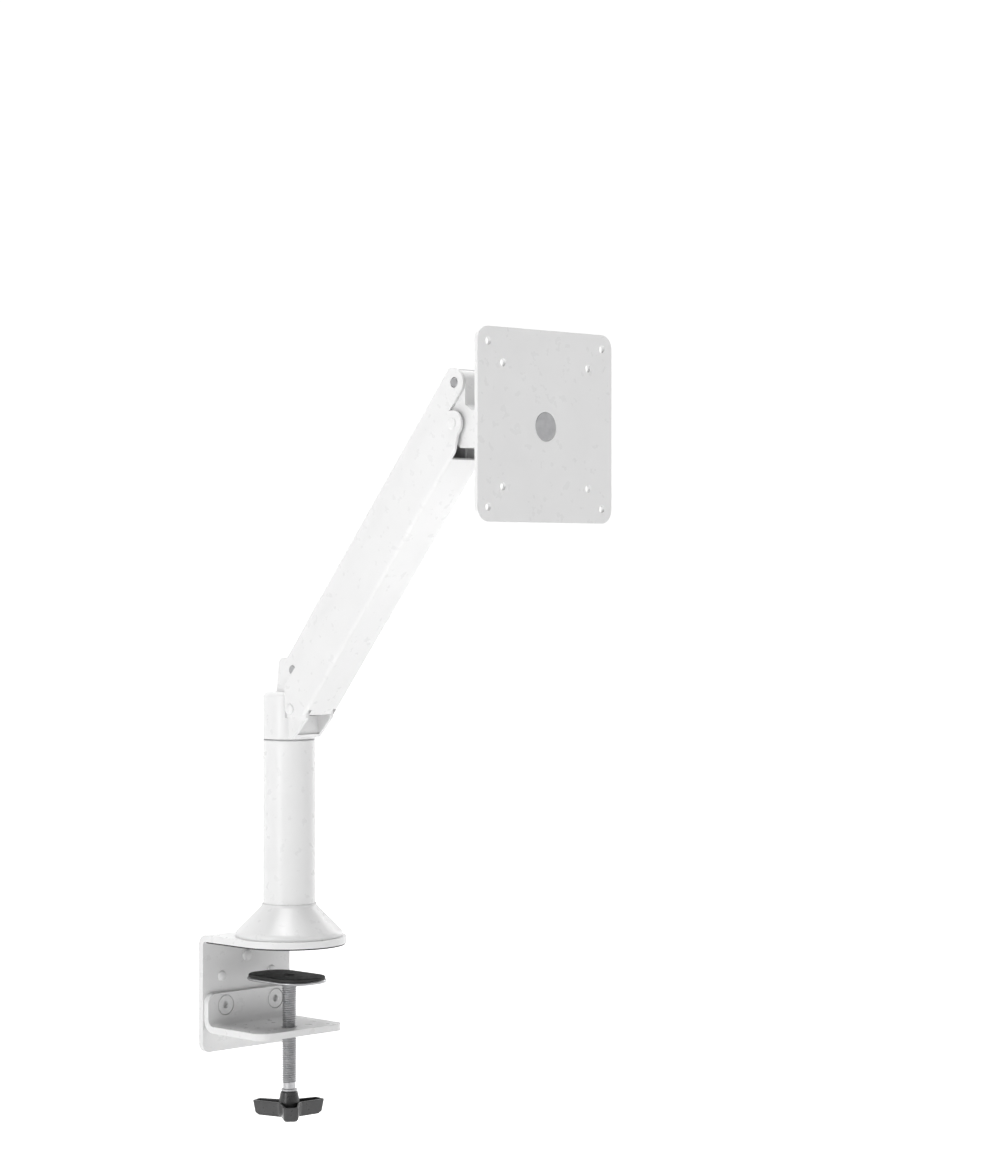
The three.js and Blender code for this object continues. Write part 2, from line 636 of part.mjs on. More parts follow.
// The open wedge in front of the barrel: two walls and a floor under the arm's root.
function headWedge() {
  const side = outline([
    [-8, WEDGE_FLOOR_Z], [-17.4, WEDGE_FLOOR_Z], [-30.9, WEDGE_FLOOR_Z + 13.7],
    [ROOT.y - 18.3, ROOT.z + 1.3, 2], [ROOT.y - 0.8, ROOT.z + PIVOT_BOSS_R, 3],
    [-8, ROOT.z + PIVOT_BOSS_R],
  ]);
  return alongX(side, -BRACKET_OUT, BRACKET_OUT).subtract(
    block(-BRACKET_IN, BRACKET_IN, -2 * CLEAR, -18, WEDGE_FLOOR_Z + WEDGE_FLOOR_T, HEAD_TOP_Z),
  );
}

// The two cheeks that carry both pivots, joined at the back and by the tension screw's bridge.
function headCasting() {
  const cheeks = alongX(outline([
    [ROOT.y - PIVOT_BOSS_R, ROOT.z - PIVOT_BOSS_R, PIVOT_BOSS_R],
    [ROOT.y - PIVOT_BOSS_R, HEAD_TOP_Z, PIVOT_BOSS_R], [POCKET_BACK_Y, HEAD_TOP_Z, 5],
    [POCKET_BACK_Y + 3, HEAD_SHOULDER_Z], [POCKET_BACK_Y + 3, ROOT.z - PIVOT_BOSS_R],
  ]), -CHEEK_OUT, CHEEK_OUT);
  const pocket = block(
    -CHEEK_IN, CHEEK_IN, -2 * CLEAR, POCKET_BACK_Y, POCKET_FLOOR_Z, HEAD_TOP_Z + 1,
  );
  const bridge = block(
    -CHEEK_OUT + 1, CHEEK_OUT - 1, TENSION_Y - 4, POCKET_BACK_Y, BRIDGE_TOP_Z - BRIDGE_T, BRIDGE_TOP_Z,
  );
  return headBarrel().add(headWedge()).add(cheeks).subtract(pocket).add(bridge)
    .subtract(pinX(PIN_R + GAP, -CLEAR, CLEAR, ROOT.y, ROOT.z))
    .subtract(pinX(PIN_R + GAP, -CLEAR, CLEAR, UPPER.y, UPPER.z))
    .subtract(pinZ(TENSION_R + GAP, BRIDGE_TOP_Z - BRIDGE_T - 1, BRIDGE_TOP_Z + 1, 0, TENSION_Y))
    .subtract(pinZ(STUB_R + GAP, HEAD_BOTTOM_Z - 1, STUB_TOP_Z + GAP, 0, 0, FACETS.large));
}
piece('head_casting', headCasting(), WHITE);

const SLEEVE_R = 4.5;
for (const [name, pivot] of [['lower', ROOT], ['upper', UPPER]]) {
  const sleeve = ring(PIN_R + GAP, SLEEVE_R, -CHEEK_IN + GAP, CHEEK_IN - GAP);
  piece(`head_sleeve_${name}`, turnToX(sleeve, pivot.y, pivot.z), GREY_PLASTIC);
}

// The gas spring's foot sits in a slotted block that the tension screw raises and lowers.
const BLOCK_H = 10;
const FOOT_SLOT = 3.9; // half its width
function tensionBlock() {
  const floor = SPRING_FOOT.z - 4.5;
  const top = floor + BLOCK_H;
  return block(-CHEEK_IN + GAP, CHEEK_IN - GAP, -23, POCKET_BACK_Y - GAP, floor, top)
    .subtract(block(-FOOT_SLOT, FOOT_SLOT, -30, -10, floor - 1, top + 1))
    .subtract(pinX(SPRING_PIN_R + GAP, -CLEAR, CLEAR, SPRING_FOOT.y, SPRING_FOOT.z))
    .subtract(pinZ(TENSION_R + GAP, floor - 1, top + 1, 0, TENSION_Y));
}
piece('tension_block', tensionBlock(), DARK_STEEL);

function tensionScrew() {
  const headR = 4;
  const headTop = BRIDGE_TOP_Z + 5;
  return cylinder(TENSION_R, SPRING_FOOT.z - 7, BRIDGE_TOP_Z + 1)
    .add(cylinder(headR, BRIDGE_TOP_Z + 0.1, headTop))
    .subtract(hexSocket(M6_KEY, headTop - 3, headTop + 1))
    .translate([0, TENSION_Y, 0]);
}
piece('tension_screw', tensionScrew(), STEEL);
const FOOT_PIN_END = CHEEK_IN - 2 * GAP;
piece('spring_foot_pin', pinX(
  SPRING_PIN_R, -FOOT_PIN_END, FOOT_PIN_END, SPRING_FOOT.y, SPRING_FOOT.z,
), STEEL);

// ---- links ----------------------------------------------------------------------------------
// A link is drawn lying along -Y from its root pivot and its group raises it to the arm's slope.
function raised(pivot) {
  const group = new THREE.Group();
  group.position.set(0, pivot.y, pivot.z);
  group.rotation.x = -LIFT;
  object.add(group);
  return group;
}
// Corners given along the link and above its pivot line become (Y, Z) corners.
function linkOutline(corners) {
  return outline(corners.map(([s, t, radius]) => [-s, t, radius]).reverse());
}
// A level or upright offset from the root pivot, measured at rest, in the link's own directions.
function atRest(dy, dz) {
  return [
    -dy * Math.cos(LIFT) + dz * Math.sin(LIFT),
    dy * Math.sin(LIFT) + dz * Math.cos(LIFT),
  ];
}
function linkBox(halfW, s0, s1, t0, t1) {
  return block(-halfW, halfW, -s1, -s0, t0, t1);
}
const END_CLEAR = LINK_LENGTH + CLEAR;
const SKY = 2 * CLEAR; // above and below everything on a link

// The deep lower link: two walls and an underside plate, slotted where the bracket passes in.
const LINK_BACK_Y = 5.3; // upright back edge, behind the root pivot
const LINK_CHIN_Z = -3.8; // level bottom edge, below it
const LINK_END_R = 8.3;
const LINK_EDGE_R = 2.4; // rounded edges of the underside
const PRESS = 0.1; // clearance of a pin that is fast in its walls
const SLOT_HALF_W = 1.4;
function lowerLink() {
  const end = LINK_LENGTH;
  const floorTop = LINK_FLOOR_T + LINK_SHEET;
  const toe = atRest(LINK_BACK_Y, LINK_CHIN_Z);
  const chin = atRest((LINK_FLOOR_T - LINK_CHIN_Z * Math.cos(LIFT)) / Math.sin(LIFT), LINK_CHIN_Z);
  const nape = atRest(
    LINK_BACK_Y, (LINK_TOP_T - LINK_BACK_Y * Math.sin(LIFT)) / Math.cos(LIFT),
  );
  const nose = end + LINK_END_R;
  const walls = linkOutline([
    [...toe, 4.5], [...chin, 1], [end - 12, LINK_FLOOR_T, 12], [end - 2, -LINK_END_R, 1],
    [nose, -LINK_END_R, LINK_END_R - PRESS], [nose, LINK_END_R, LINK_END_R - PRESS],
    [end - 2, LINK_END_R, 1], [end - 14, LINK_TOP_T, 12], [...nape, 2],
  ]);
  const section = outline([
    [-LINK_HALF_W, LINK_FLOOR_T, LINK_EDGE_R], [LINK_HALF_W, LINK_FLOOR_T, LINK_EDGE_R],
    [LINK_HALF_W, SKY], [-LINK_HALF_W, SKY],
  ]);
  const inside = LINK_HALF_W - LINK_SHEET;
  let link = alongX(walls, -LINK_HALF_W, LINK_HALF_W, STEPS.medium)
    .intersect(alongY(section, -END_CLEAR, CLEAR))
    .subtract(linkBox(inside, -CLEAR, END_CLEAR, floorTop, SKY))
    .subtract(linkBox(inside, end - 18, END_CLEAR, -SKY, SKY));
  for (const [, side] of SIDES) {
    const middle = side * (BRACKET_IN + BRACKET_OUT) / 2;
    link = link.subtract(
      block(middle - SLOT_HALF_W, middle + SLOT_HALF_W, -16, LINK_BACK_Y, -SKY, floorTop + 1),
    );
  }
  return link
    .subtract(pinX(PIN_R + PRESS, -CLEAR, CLEAR, 0, 0))
    .subtract(pinX(PIN_R + PRESS, -CLEAR, CLEAR, -end, 0));
}

// The upper link is a cover over the spring with deep skirts between its ends.
const SKIRT_T = -22; // lower edge of the skirts between the ends
const SKIRT_START = 34;
const SKIRT_SLOPE = 20;
const UPPER_EDGE_R = 2.2;
function upperLink() {
  const end = LINK_LENGTH;
  const r = PIVOT_BOSS_R;
  const inside = UPPER_HALF_W - UPPER_SHEET;
  const skirtEnd = ANCHOR.s - 2;
  const skirt = linkOutline([
    [-r, -r, r], [SKIRT_START - SKIRT_SLOPE, -r, 3], [SKIRT_START, SKIRT_T, 6],
    [skirtEnd, SKIRT_T, 6], [skirtEnd + SKIRT_SLOPE, -r, 3], [end + r, -r, r],
    [end + r, UPPER_TOP_T, 9], [-r, UPPER_TOP_T, 9],
  ]);
  const section = outline([
    [-UPPER_HALF_W, -SKY], [UPPER_HALF_W, -SKY],
    [UPPER_HALF_W, UPPER_TOP_T, UPPER_EDGE_R], [-UPPER_HALF_W, UPPER_TOP_T, UPPER_EDGE_R],
  ]);
  return alongX(skirt, -UPPER_HALF_W, UPPER_HALF_W, STEPS.medium)
    .intersect(alongY(section, -END_CLEAR, CLEAR))
    .subtract(linkBox(inside, -CLEAR, END_CLEAR, -SKY, UPPER_TOP_T - UPPER_SHEET))
    .subtract(linkBox(inside, -CLEAR, 6, -SKY, SKY))
    .subtract(pinX(PIN_R + PRESS, -CLEAR, CLEAR, 0, 0))
    .subtract(pinX(PIN_R + GAP, -CLEAR, CLEAR, -end, 0))
    .subtract(pinX(SPRING_PIN_R + PRESS, -CLEAR, CLEAR, -ANCHOR.s, ANCHOR.t));
}

const lowerGroup = raised(ROOT);
const upperGroup = raised(UPPER);
piece('lower_link', lowerLink(), WHITE, lowerGroup);
piece('upper_link', upperLink(), WHITE, upperGroup);

const LOWER_PIN_END = LINK_HALF_W - 0.2;
const UPPER_PIN_END = UPPER_HALF_W + 0.2;
const CAP_R = 3.65;
const CAP_RIM = 0.4;
const CAP_SQUASH = 0.3;
for (const [place, s] of [['root', 0], ['tip', LINK_LENGTH]]) {
  piece(`${place}_lower_pin`, pinX(PIN_R, -LOWER_PIN_END, LOWER_PIN_END, -s, 0), STEEL, lowerGroup);
  piece(`${place}_upper_pin`, pinX(PIN_R, -UPPER_PIN_END, UPPER_PIN_END, -s, 0), STEEL, upperGroup);
  for (const [side, sign] of SIDES) {
    const cap = turned([[0, 0], [CAP_R, 0], ...dome(CAP_R, CAP_RIM, CAP_SQUASH)])
      .rotate([0, sign * 90, 0])
      .translate([sign * LINK_HALF_W, -s, 0]);
    piece(`${place}_pin_cap_${side}`, cap, WHITE, lowerGroup);
  }
}
piece('spring_anchor_pin', pinX(
  SPRING_PIN_R, -UPPER_PIN_END, UPPER_PIN_END, -ANCHOR.s, ANCHOR.t,
), STEEL, upperGroup);

// ---- gas spring -----------------------------------------------------------------------------
const anchorY = UPPER.y - ANCHOR.s * Math.cos(LIFT) + ANCHOR.t * Math.sin(LIFT);
const anchorZ = UPPER.z + ANCHOR.s * Math.sin(LIFT) + ANCHOR.t * Math.cos(LIFT);
const SPRING_LENGTH = Math.hypot(anchorY - SPRING_FOOT.y, anchorZ - SPRING_FOOT.z);
const springGroup = new THREE.Group();
springGroup.position.set(0, SPRING_FOOT.y, SPRING_FOOT.z);
springGroup.rotation.x = -Math.atan2(anchorZ - SPRING_FOOT.z, SPRING_FOOT.y - anchorY);
object.add(springGroup);

// Spring pieces are turned about the spring's own line, which runs along -Y from its foot.
function onSpring(shape) {
  return shape.rotate([90, 0, 0]);
}
function eye(outer, inner, halfW, s) {
  return turnToX(ring(inner, outer, -halfW, halfW), -s, 0);
}

function springFoot() {
  const holeR = SPRING_PIN_R + GAP;
  const halfW = 3.5;
  return onSpring(cylinder(3.6, 4, TUBE_START - GAP))
    .add(eye(5.2, holeR, halfW, 0))
    .subtract(pinX(holeR, -CLEAR, CLEAR, 0, 0));
}
piece('gas_spring_foot', springFoot(), DARK_STEEL, springGroup);

const TUBE_FLOOR = 4;
piece('gas_spring_tube', onSpring(turned([
  [0, TUBE_START], [SPRING_TUBE_R - 1, TUBE_START], [SPRING_TUBE_R, TUBE_START + 1],
  [SPRING_TUBE_R, TUBE_END - 1], [SPRING_TUBE_R - 0.6, TUBE_END], [SPRING_BORE_R, TUBE_END],
  [SPRING_BORE_R, TUBE_START + TUBE_FLOOR], [0, TUBE_START + TUBE_FLOOR],
], FACETS.medium)), DARK_STEEL, springGroup);

const GUIDE_LENGTH = 10;
piece('gas_spring_guide', onSpring(ring(
  SPRING_ROD_R + GAP, SPRING_BORE_R - GAP, TUBE_END - GUIDE_LENGTH, TUBE_END - GAP, FACETS.medium,
)), BLACK_PLASTIC, springGroup);

// The rod carries its piston inside the tube.
const PISTON_S = TUBE_END - 50;
const PISTON_T = 6;
const ROD_END = SPRING_LENGTH - 16;
piece('gas_spring_rod', onSpring(turned([
  [0, PISTON_S], [SPRING_BORE_R - GAP, PISTON_S], [SPRING_BORE_R - GAP, PISTON_S + PISTON_T],
  [SPRING_ROD_R, PISTON_S + PISTON_T], [SPRING_ROD_R, ROD_END], [0, ROD_END],
], FACETS.medium)), STEEL, springGroup);

function springEye() {
  const holeR = SPRING_PIN_R + EYE_PLAY;
  const halfW = 4;
  return onSpring(cylinder(4.6, ROD_END + 0.1, SPRING_LENGTH - 4))
    .add(eye(8, holeR, halfW, SPRING_LENGTH))
    .subtract(pinX(holeR, -CLEAR, CLEAR, -SPRING_LENGTH, 0));
}
piece('gas_spring_eye', springEye(), DARK_STEEL, springGroup);

// ---- tip ------------------------------------------------------------------------------------
const TIP_UPPER_Z = TIP.z + PIVOT_RISE;
const HUB_BOTTOM_Z = TILT_Z - HUB_HALF_H;
const HUB_TOP_Z = TILT_Z + HUB_HALF_H;

// An upright that joins both links' ends, with a hub in front for the pan bolt.
function tipBracket() {
  const r = PIVOT_BOSS_R;
  const upright = outline([
    [TIP.y - r, TIP.z - r, 2], [TIP.y + r, TIP.z - r, r], [TIP.y + r, TIP_UPPER_Z + r, r],
    [TIP.y - r, TIP_UPPER_Z + r, r],
  ]);
  const neckLow = HUB_BOTTOM_Z + 1.5;
  const neckHigh = HUB_TOP_Z - 1.5;
  const neck = outline([
    [PAN_Y, neckLow], [TIP.y - 3, neckLow, 3], [TIP.y + 4, TIP.z - 4, 3],
    [TIP.y, HUB_TOP_Z + r, 2], [PAN_Y + HUB_R, neckHigh, 3], [PAN_Y, neckHigh],
  ]);
  return alongX(upright, -CHEEK_OUT, CHEEK_OUT)
    .add(alongX(neck, -CHEEK_OUT, CHEEK_OUT))
    .add(pinZ(HUB_R, HUB_BOTTOM_Z, HUB_TOP_Z, 0, PAN_Y, FACETS.large))
    .subtract(pinX(PIN_R + GAP, -CLEAR, CLEAR, TIP.y, TIP.z))
    .subtract(pinX(PIN_R + GAP, -CLEAR, CLEAR, TIP.y, TIP_UPPER_Z))
    .subtract(pinZ(PAN_BOLT_R + GAP, HUB_BOTTOM_Z - 1, HUB_TOP_Z + 1, 0, PAN_Y, FACETS.medium));
}
piece('tip_bracket', tipBracket(), WHITE);

const EAR_LOW = HUB_BOTTOM_Z - WASHER_T - 2 * GAP;
const EAR_HIGH = HUB_TOP_Z + WASHER_T + 2 * GAP;
for (const [place, z] of [['lower', HUB_BOTTOM_Z - WASHER_T - GAP], ['upper', HUB_TOP_Z + GAP]]) {
  const washer = ring(PAN_BOLT_R + GAP, HUB_R - 0.6, z, z + WASHER_T, FACETS.medium);
  piece(`pan_washer_${place}`, washer.translate([0, PAN_Y, 0]), GREY_PLASTIC);
}

// A fork round the hub that carries the tilt barrel in front.
const EAR_TOP_Z = EAR_HIGH + EAR_T;
const EAR_BASE_Z = EAR_LOW - EAR_T;
function panFork() {
  const shoulderY = PAN_Y - HUB_R - 0.5;
  const round = HUB_R - PRESS;
  const plan = outline([
    [-BARREL_HALF_W, PAN_Y - 17, 2], [BARREL_HALF_W, PAN_Y - 17, 2], [BARREL_HALF_W, shoulderY],
    [HUB_R, PAN_Y - 8], [HUB_R, PAN_Y + HUB_R, round], [-HUB_R, PAN_Y + HUB_R, round],
    [-HUB_R, PAN_Y - 8], [-BARREL_HALF_W, shoulderY],
  ]);
  return alongZ(plan, EAR_BASE_Z, EAR_TOP_Z, STEPS.medium)
    .subtract(block(-CLEAR, CLEAR, PAN_Y - HUB_R - 0.8, PAN_Y + CLEAR, EAR_LOW, EAR_HIGH))
    .add(pinX(BARREL_R, -BARREL_HALF_W, BARREL_HALF_W, TILT_Y, TILT_Z, FACETS.medium))
    .subtract(pinX(M6_R + GAP, -CLEAR, CLEAR, TILT_Y, TILT_Z))
    .subtract(pinZ(PAN_BOLT_R + PRESS, EAR_BASE_Z - 1, EAR_TOP_Z + 1, 0, PAN_Y, FACETS.medium));
}
piece('pan_fork', panFork(), WHITE);

// A hexagonal nut along Z, across flats.
function nut(acrossFlats, boreR, z0, z1) {
  return hexSocket(acrossFlats, z0, z1).subtract(cylinder(boreR, z0 - 1, z1 + 1, FACETS.medium));
}
const PAN_KEY = 5;
function panBolt() {
  const headTop = EAR_TOP_Z + 4.4;
  return cylinder(PAN_BOLT_R, EAR_BASE_Z - 8, EAR_TOP_Z + 1, FACETS.medium)
    .add(cylinder(7, EAR_TOP_Z + PRESS, headTop, FACETS.medium))
    .subtract(hexSocket(PAN_KEY, headTop - 2.8, headTop + 1))
    .translate([0, PAN_Y, 0]);
}
piece('pan_bolt', panBolt(), DARK_STEEL);
const PAN_NUT = { acrossFlats: 13, height: 6.5 };
piece('pan_nut', nut(
  PAN_NUT.acrossFlats, PAN_BOLT_R + PRESS, EAR_BASE_Z - GAP - PAN_NUT.height, EAR_BASE_Z - GAP,
).translate([0, PAN_Y, 0]), STEEL);

// The carrier's cheeks hold the tilt barrel and its round web carries the screen plate.
const PLATE_BACK_Y = FACE_Y + SCREEN_PLATE_T;
const WEB_FRONT_Y = PLATE_BACK_Y + WASHER_T + 2 * GAP;
const WEB_BACK_Y = WEB_FRONT_Y + WEB_T;
const CARRIER_IN = BARREL_HALF_W + GAP;
const CARRIER_OUT = CARRIER_IN + CARRIER_T;
const CHEEK_ROOT_HALF = 14; // half the cheeks' height where they meet the web

function screenCarrier() {
  const r = BARREL_R;
  const low = TILT_Z - CHEEK_ROOT_HALF;
  const high = TILT_Z + CHEEK_ROOT_HALF;
  const cheek = outline([
    [WEB_FRONT_Y + 1, low], [WEB_BACK_Y + 1, low, 2], [TILT_Y, TILT_Z - r, 1],
    [TILT_Y + r, TILT_Z - r, r - PRESS], [TILT_Y + r, TILT_Z + r, r - PRESS],
    [TILT_Y, TILT_Z + r, 1], [WEB_BACK_Y + 1, high, 2], [WEB_FRONT_Y + 1, high],
  ]);
  return alongX(cheek, -CARRIER_OUT, CARRIER_OUT)
    .subtract(block(-CARRIER_IN, CARRIER_IN, FACE_Y, TILT_Y + CLEAR, TILT_Z - CLEAR, TILT_Z + CLEAR))
    .add(pinY(WEB_R, WEB_FRONT_Y, WEB_BACK_Y, 0, TILT_Z, FACETS.large))
    .subtract(pinX(M6_R + GAP, -CLEAR, CLEAR, TILT_Y, TILT_Z))
    .subtract(pinY(ROLL_R + GAP, WEB_FRONT_Y - 1, WEB_BACK_Y + 1, 0, TILT_Z, FACETS.medium));
}
piece('screen_carrier', screenCarrier(), WHITE);

function tiltBolt() {
  const seat = CARRIER_OUT + PRESS;
  const top = seat + 3.7;
  const head = turned([[0, seat], [5.4, seat], [5.2, seat + 2.2], [3.6, top], [0, top]]);
  return turnToX(
    cylinder(M6_R, -CARRIER_OUT - 6.5, seat + 1).add(head).subtract(hexSocket(M6_KEY, top - 2.4, top + 1)),
    TILT_Y, TILT_Z,
  );
}
piece('tilt_bolt', tiltBolt(), DARK_STEEL);
const TILT_NUT = { acrossFlats: 11, height: 5.5 };
piece('tilt_nut', turnToX(nut(
  TILT_NUT.acrossFlats, M6_R + PRESS, -CARRIER_OUT - GAP - TILT_NUT.height, -CARRIER_OUT - GAP,
), TILT_Y, TILT_Z), STEEL);

piece('roll_washer', turnToY(ring(
  ROLL_R + GAP, WEB_R - 1, -PLATE_BACK_Y - GAP - WASHER_T, -PLATE_BACK_Y - GAP, FACETS.medium,
), 0, TILT_Z), GREY_PLASTIC);

// The rivet's countersunk head sits flush in the plate and its tail is spread behind the web.
const ROLL_HEAD_FLUSH = 0.2;
const ROLL_HEAD_DEPTH = 2.2;
function rollRivet() {
  const tail = -WEB_BACK_Y - GAP;
  return turnToY(turned([
    [0, tail - 1.6], [8.4, tail - 1.6], [8.6, tail], [ROLL_R, tail],
    [ROLL_R, -FACE_Y - ROLL_HEAD_DEPTH], [ROLL_HEAD_R, -FACE_Y - ROLL_HEAD_FLUSH],
    [0, -FACE_Y - ROLL_HEAD_FLUSH],
  ], FACETS.medium), 0, TILT_Z);
}
piece('roll_rivet', rollRivet(), STEEL);

function screenPlate() {
  const half = SCREEN_PLATE / 2;
  const square = rectangle(-half, TILT_Z - half, half, TILT_Z + half, PLATE_CORNER_R);
  const narrow = ROLL_R + GAP;
  const wide = ROLL_HEAD_R + GAP;
  const rivetHole = turnToY(turned([
    [0, -PLATE_BACK_Y - 1], [narrow, -PLATE_BACK_Y - 1], [narrow, -FACE_Y - ROLL_HEAD_DEPTH],
    [wide, -FACE_Y - ROLL_HEAD_FLUSH], [wide, -FACE_Y + 1], [0, -FACE_Y + 1],
  ], FACETS.medium), 0, TILT_Z);
  let plate = alongY(square, FACE_Y, PLATE_BACK_Y).subtract(rivetHole);
  for (const pattern of HOLE_PATTERNS) {
    for (const [, sideX] of SIDES) {
      for (const [, sideZ] of SIDES) {
        const [x, z] = [sideX * pattern / 2, TILT_Z + sideZ * pattern / 2];
        plate = plate.subtract(pinY(M4_HOLE_R, FACE_Y - 1, PLATE_BACK_Y + 1, x, z));
      }
    }
  }
  return plate;
}
piece('screen_plate', screenPlate(), WHITE);

export default object;
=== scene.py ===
"""A desk-clamped monitor arm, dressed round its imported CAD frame. Lengths are millimetres until
a piece is finished, which stores metres. +Z is up, the screen side is -Y, the desk edge is +Y."""
import json
import math

import bmesh
import bpy
from mathutils import Matrix, Vector


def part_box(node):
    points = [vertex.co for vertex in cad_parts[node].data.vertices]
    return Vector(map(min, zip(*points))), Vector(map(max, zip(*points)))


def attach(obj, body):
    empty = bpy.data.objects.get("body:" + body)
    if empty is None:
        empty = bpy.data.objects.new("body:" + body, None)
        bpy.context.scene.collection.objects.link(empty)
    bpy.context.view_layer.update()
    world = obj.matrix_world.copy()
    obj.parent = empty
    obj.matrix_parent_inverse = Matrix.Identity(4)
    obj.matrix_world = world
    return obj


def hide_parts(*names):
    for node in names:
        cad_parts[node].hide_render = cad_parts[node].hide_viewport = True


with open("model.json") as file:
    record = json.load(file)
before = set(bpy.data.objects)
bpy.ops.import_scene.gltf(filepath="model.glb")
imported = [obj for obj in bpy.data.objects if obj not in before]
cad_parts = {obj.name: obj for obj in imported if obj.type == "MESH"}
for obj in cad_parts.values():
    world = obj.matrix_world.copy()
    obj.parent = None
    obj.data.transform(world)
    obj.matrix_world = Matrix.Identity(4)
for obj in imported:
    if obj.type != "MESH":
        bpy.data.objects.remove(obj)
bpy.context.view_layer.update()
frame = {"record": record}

MM = 0.001
RECORD = frame["record"]
JOINTS = {joint["name"]: joint for joint in RECORD["behaviour"]["joints"]}
BODY_OF = {node: body for body, nodes in RECORD["behaviour"]["bodies"].items() for node in nodes}
SLOT_OF = {part["node"]: part["material_slot"] for part in RECORD["subparts"]}


def pivot(joint):
    """A joint's point in millimetres."""
    return Vector(JOINTS[joint]["pos_m"]) / MM


class Span:
    """A node's box in millimetres, with its middle in x, y and z."""

    def __init__(self, node):
        low, high = (Vector(corner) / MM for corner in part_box(node))
        self.x0, self.y0, self.z0 = low
        self.x1, self.y1, self.z1 = high
        self.x, self.y, self.z = ((a + b) / 2 for a, b in zip(low, high))


# ---- materials -------------------------------
def new_material(name, base, roughness, metallic=0.0, specular=0.5):
    material = bpy.data.materials.new(name)
    material.use_nodes = True
    shader = material.node_tree.nodes["Principled BSDF"]
    shader.inputs["Base Color"].default_value = (*base, 1)
    shader.inputs["Roughness"].default_value = roughness
    shader.inputs["Metallic"].default_value = metallic
    shader.inputs["Specular IOR Level"].default_value = specular
    return material, shader


class Finish:
    """Adds texture to one material, in the piece's own metres."""

    def __init__(self, name, base, roughness, metallic=0.0, specular=0.5):
        self.material, self.shader = new_material(name, base, roughness, metallic, specular)
        self.tree = self.material.node_tree
        self.base = base
        coordinates = self.tree.nodes.new("ShaderNodeTexCoord")
        self.place = coordinates.outputs["Object"]

    def stretched(self, x, y, z):
        """Coordinates drawn out along the axes with the small numbers, for streaks."""
        mapping = self.tree.nodes.new("ShaderNodeMapping")
        mapping.inputs["Scale"].default_value = (x, y, z)
        self.tree.links.new(self.place, mapping.inputs["Vector"])
        return mapping.outputs["Vector"]

    def noise(self, per_metre, detail=2.0, place=None):
        node = self.tree.nodes.new("ShaderNodeTexNoise")
        node.inputs["Scale"].default_value = per_metre
        node.inputs["Detail"].default_value = detail
        self.tree.links.new(place or self.place, node.inputs["Vector"])
        return node.outputs["Fac"]

    def scaled(self, value, low, high):
        """A 0 to 1 pattern spread between two numbers; noise lives near its middle."""
        node = self.tree.nodes.new("ShaderNodeMapRange")
        node.inputs["From Min"].default_value = 0.3
        node.inputs["From Max"].default_value = 0.7
        node.inputs["To Min"].default_value = low
        node.inputs["To Max"].default_value = high
        self.tree.links.new(value, node.inputs["Value"])
        return node.outputs["Result"]

    def roughness(self, value, low, high):
        self.tree.links.new(self.scaled(value, low, high), self.shader.inputs["Roughness"])

    def tone(self, value, low, high):
        """Varies the base colour's brightness."""
        node = self.tree.nodes.new("ShaderNodeVectorMath")
        node.operation = "SCALE"
        node.inputs[0].default_value = self.base
        self.tree.links.new(self.scaled(value, low, high), node.inputs["Scale"])
        self.tree.links.new(node.outputs["Vector"], self.shader.inputs["Base Color"])

    def bump(self, *layers):
        """Stacks (pattern, depth in millimetres) layers into the surface's normal."""
        below = None
        for pattern, depth in layers:
            node = self.tree.nodes.new("ShaderNodeBump")
            node.inputs["Strength"].default_value = 1
            node.inputs["Distance"].default_value = depth * MM
            self.tree.links.new(pattern, node.inputs["Height"])
            if below:
                self.tree.links.new(below, node.inputs["Normal"])
            below = node.outputs["Normal"]
        self.tree.links.new(below, self.shader.inputs["Normal"])


def white_powder_coat():
    finish = Finish("white_powder_coat", (0.77, 0.77, 0.77), 0.3)
    finish.tone(finish.noise(45, 3), 0.975, 1.0)
    finish.roughness(finish.noise(160, 4), 0.26, 0.34)
    finish.bump((finish.noise(900, 2), 0.012), (finish.noise(2600, 2), 0.005))
    return finish


def black_rubber():
    finish = Finish("black_rubber", (0.03, 0.03, 0.03), 0.7, specular=0.35)
    finish.tone(finish.noise(120, 4), 0.75, 1.3)
    finish.roughness(finish.noise(700, 3), 0.55, 0.78)
    finish.bump((finish.noise(2200, 3), 0.02), (finish.noise(5200, 2), 0.01))
    return finish


def zinc_steel():
    finish = Finish("zinc_steel", (0.45, 0.45, 0.46), 0.4, metallic=1)
    streaks = finish.noise(700, 4, finish.stretched(0.12, 1, 1))
    finish.tone(finish.noise(260, 4), 0.88, 1.05)
    finish.roughness(streaks, 0.34, 0.46)
    finish.bump((streaks, 0.003), (finish.noise(1800, 2), 0.002))
    return finish


def dark_steel():
    finish = Finish("dark_steel", (0.045, 0.046, 0.05), 0.42, metallic=0.6)
    finish.tone(finish.noise(180, 4), 0.8, 1.35)
    finish.roughness(finish.noise(500, 4), 0.32, 0.5)
    finish.bump((finish.noise(1500, 3), 0.008),)
    return finish


def black_plastic():
    finish = Finish("black_plastic", (0.045, 0.045, 0.046), 0.3)
    finish.tone(finish.noise(90, 3), 0.85, 1.2)
    finish.roughness(finish.noise(420, 4), 0.26, 0.36)
    finish.bump((finish.noise(2400, 3), 0.008),)
    return finish


def grey_plastic():
    finish = Finish("grey_plastic", (0.42, 0.42, 0.43), 0.5)
    finish.tone(finish.noise(200, 3), 0.92, 1.06)
    finish.roughness(finish.noise(500, 3), 0.45, 0.58)
    finish.bump((finish.noise(2000, 3), 0.01),)
    return finish


looks = {
    make.__name__: make().material
    for make in (white_powder_coat, black_rubber, zinc_steel, dark_steel, black_plastic, grey_plastic)
}


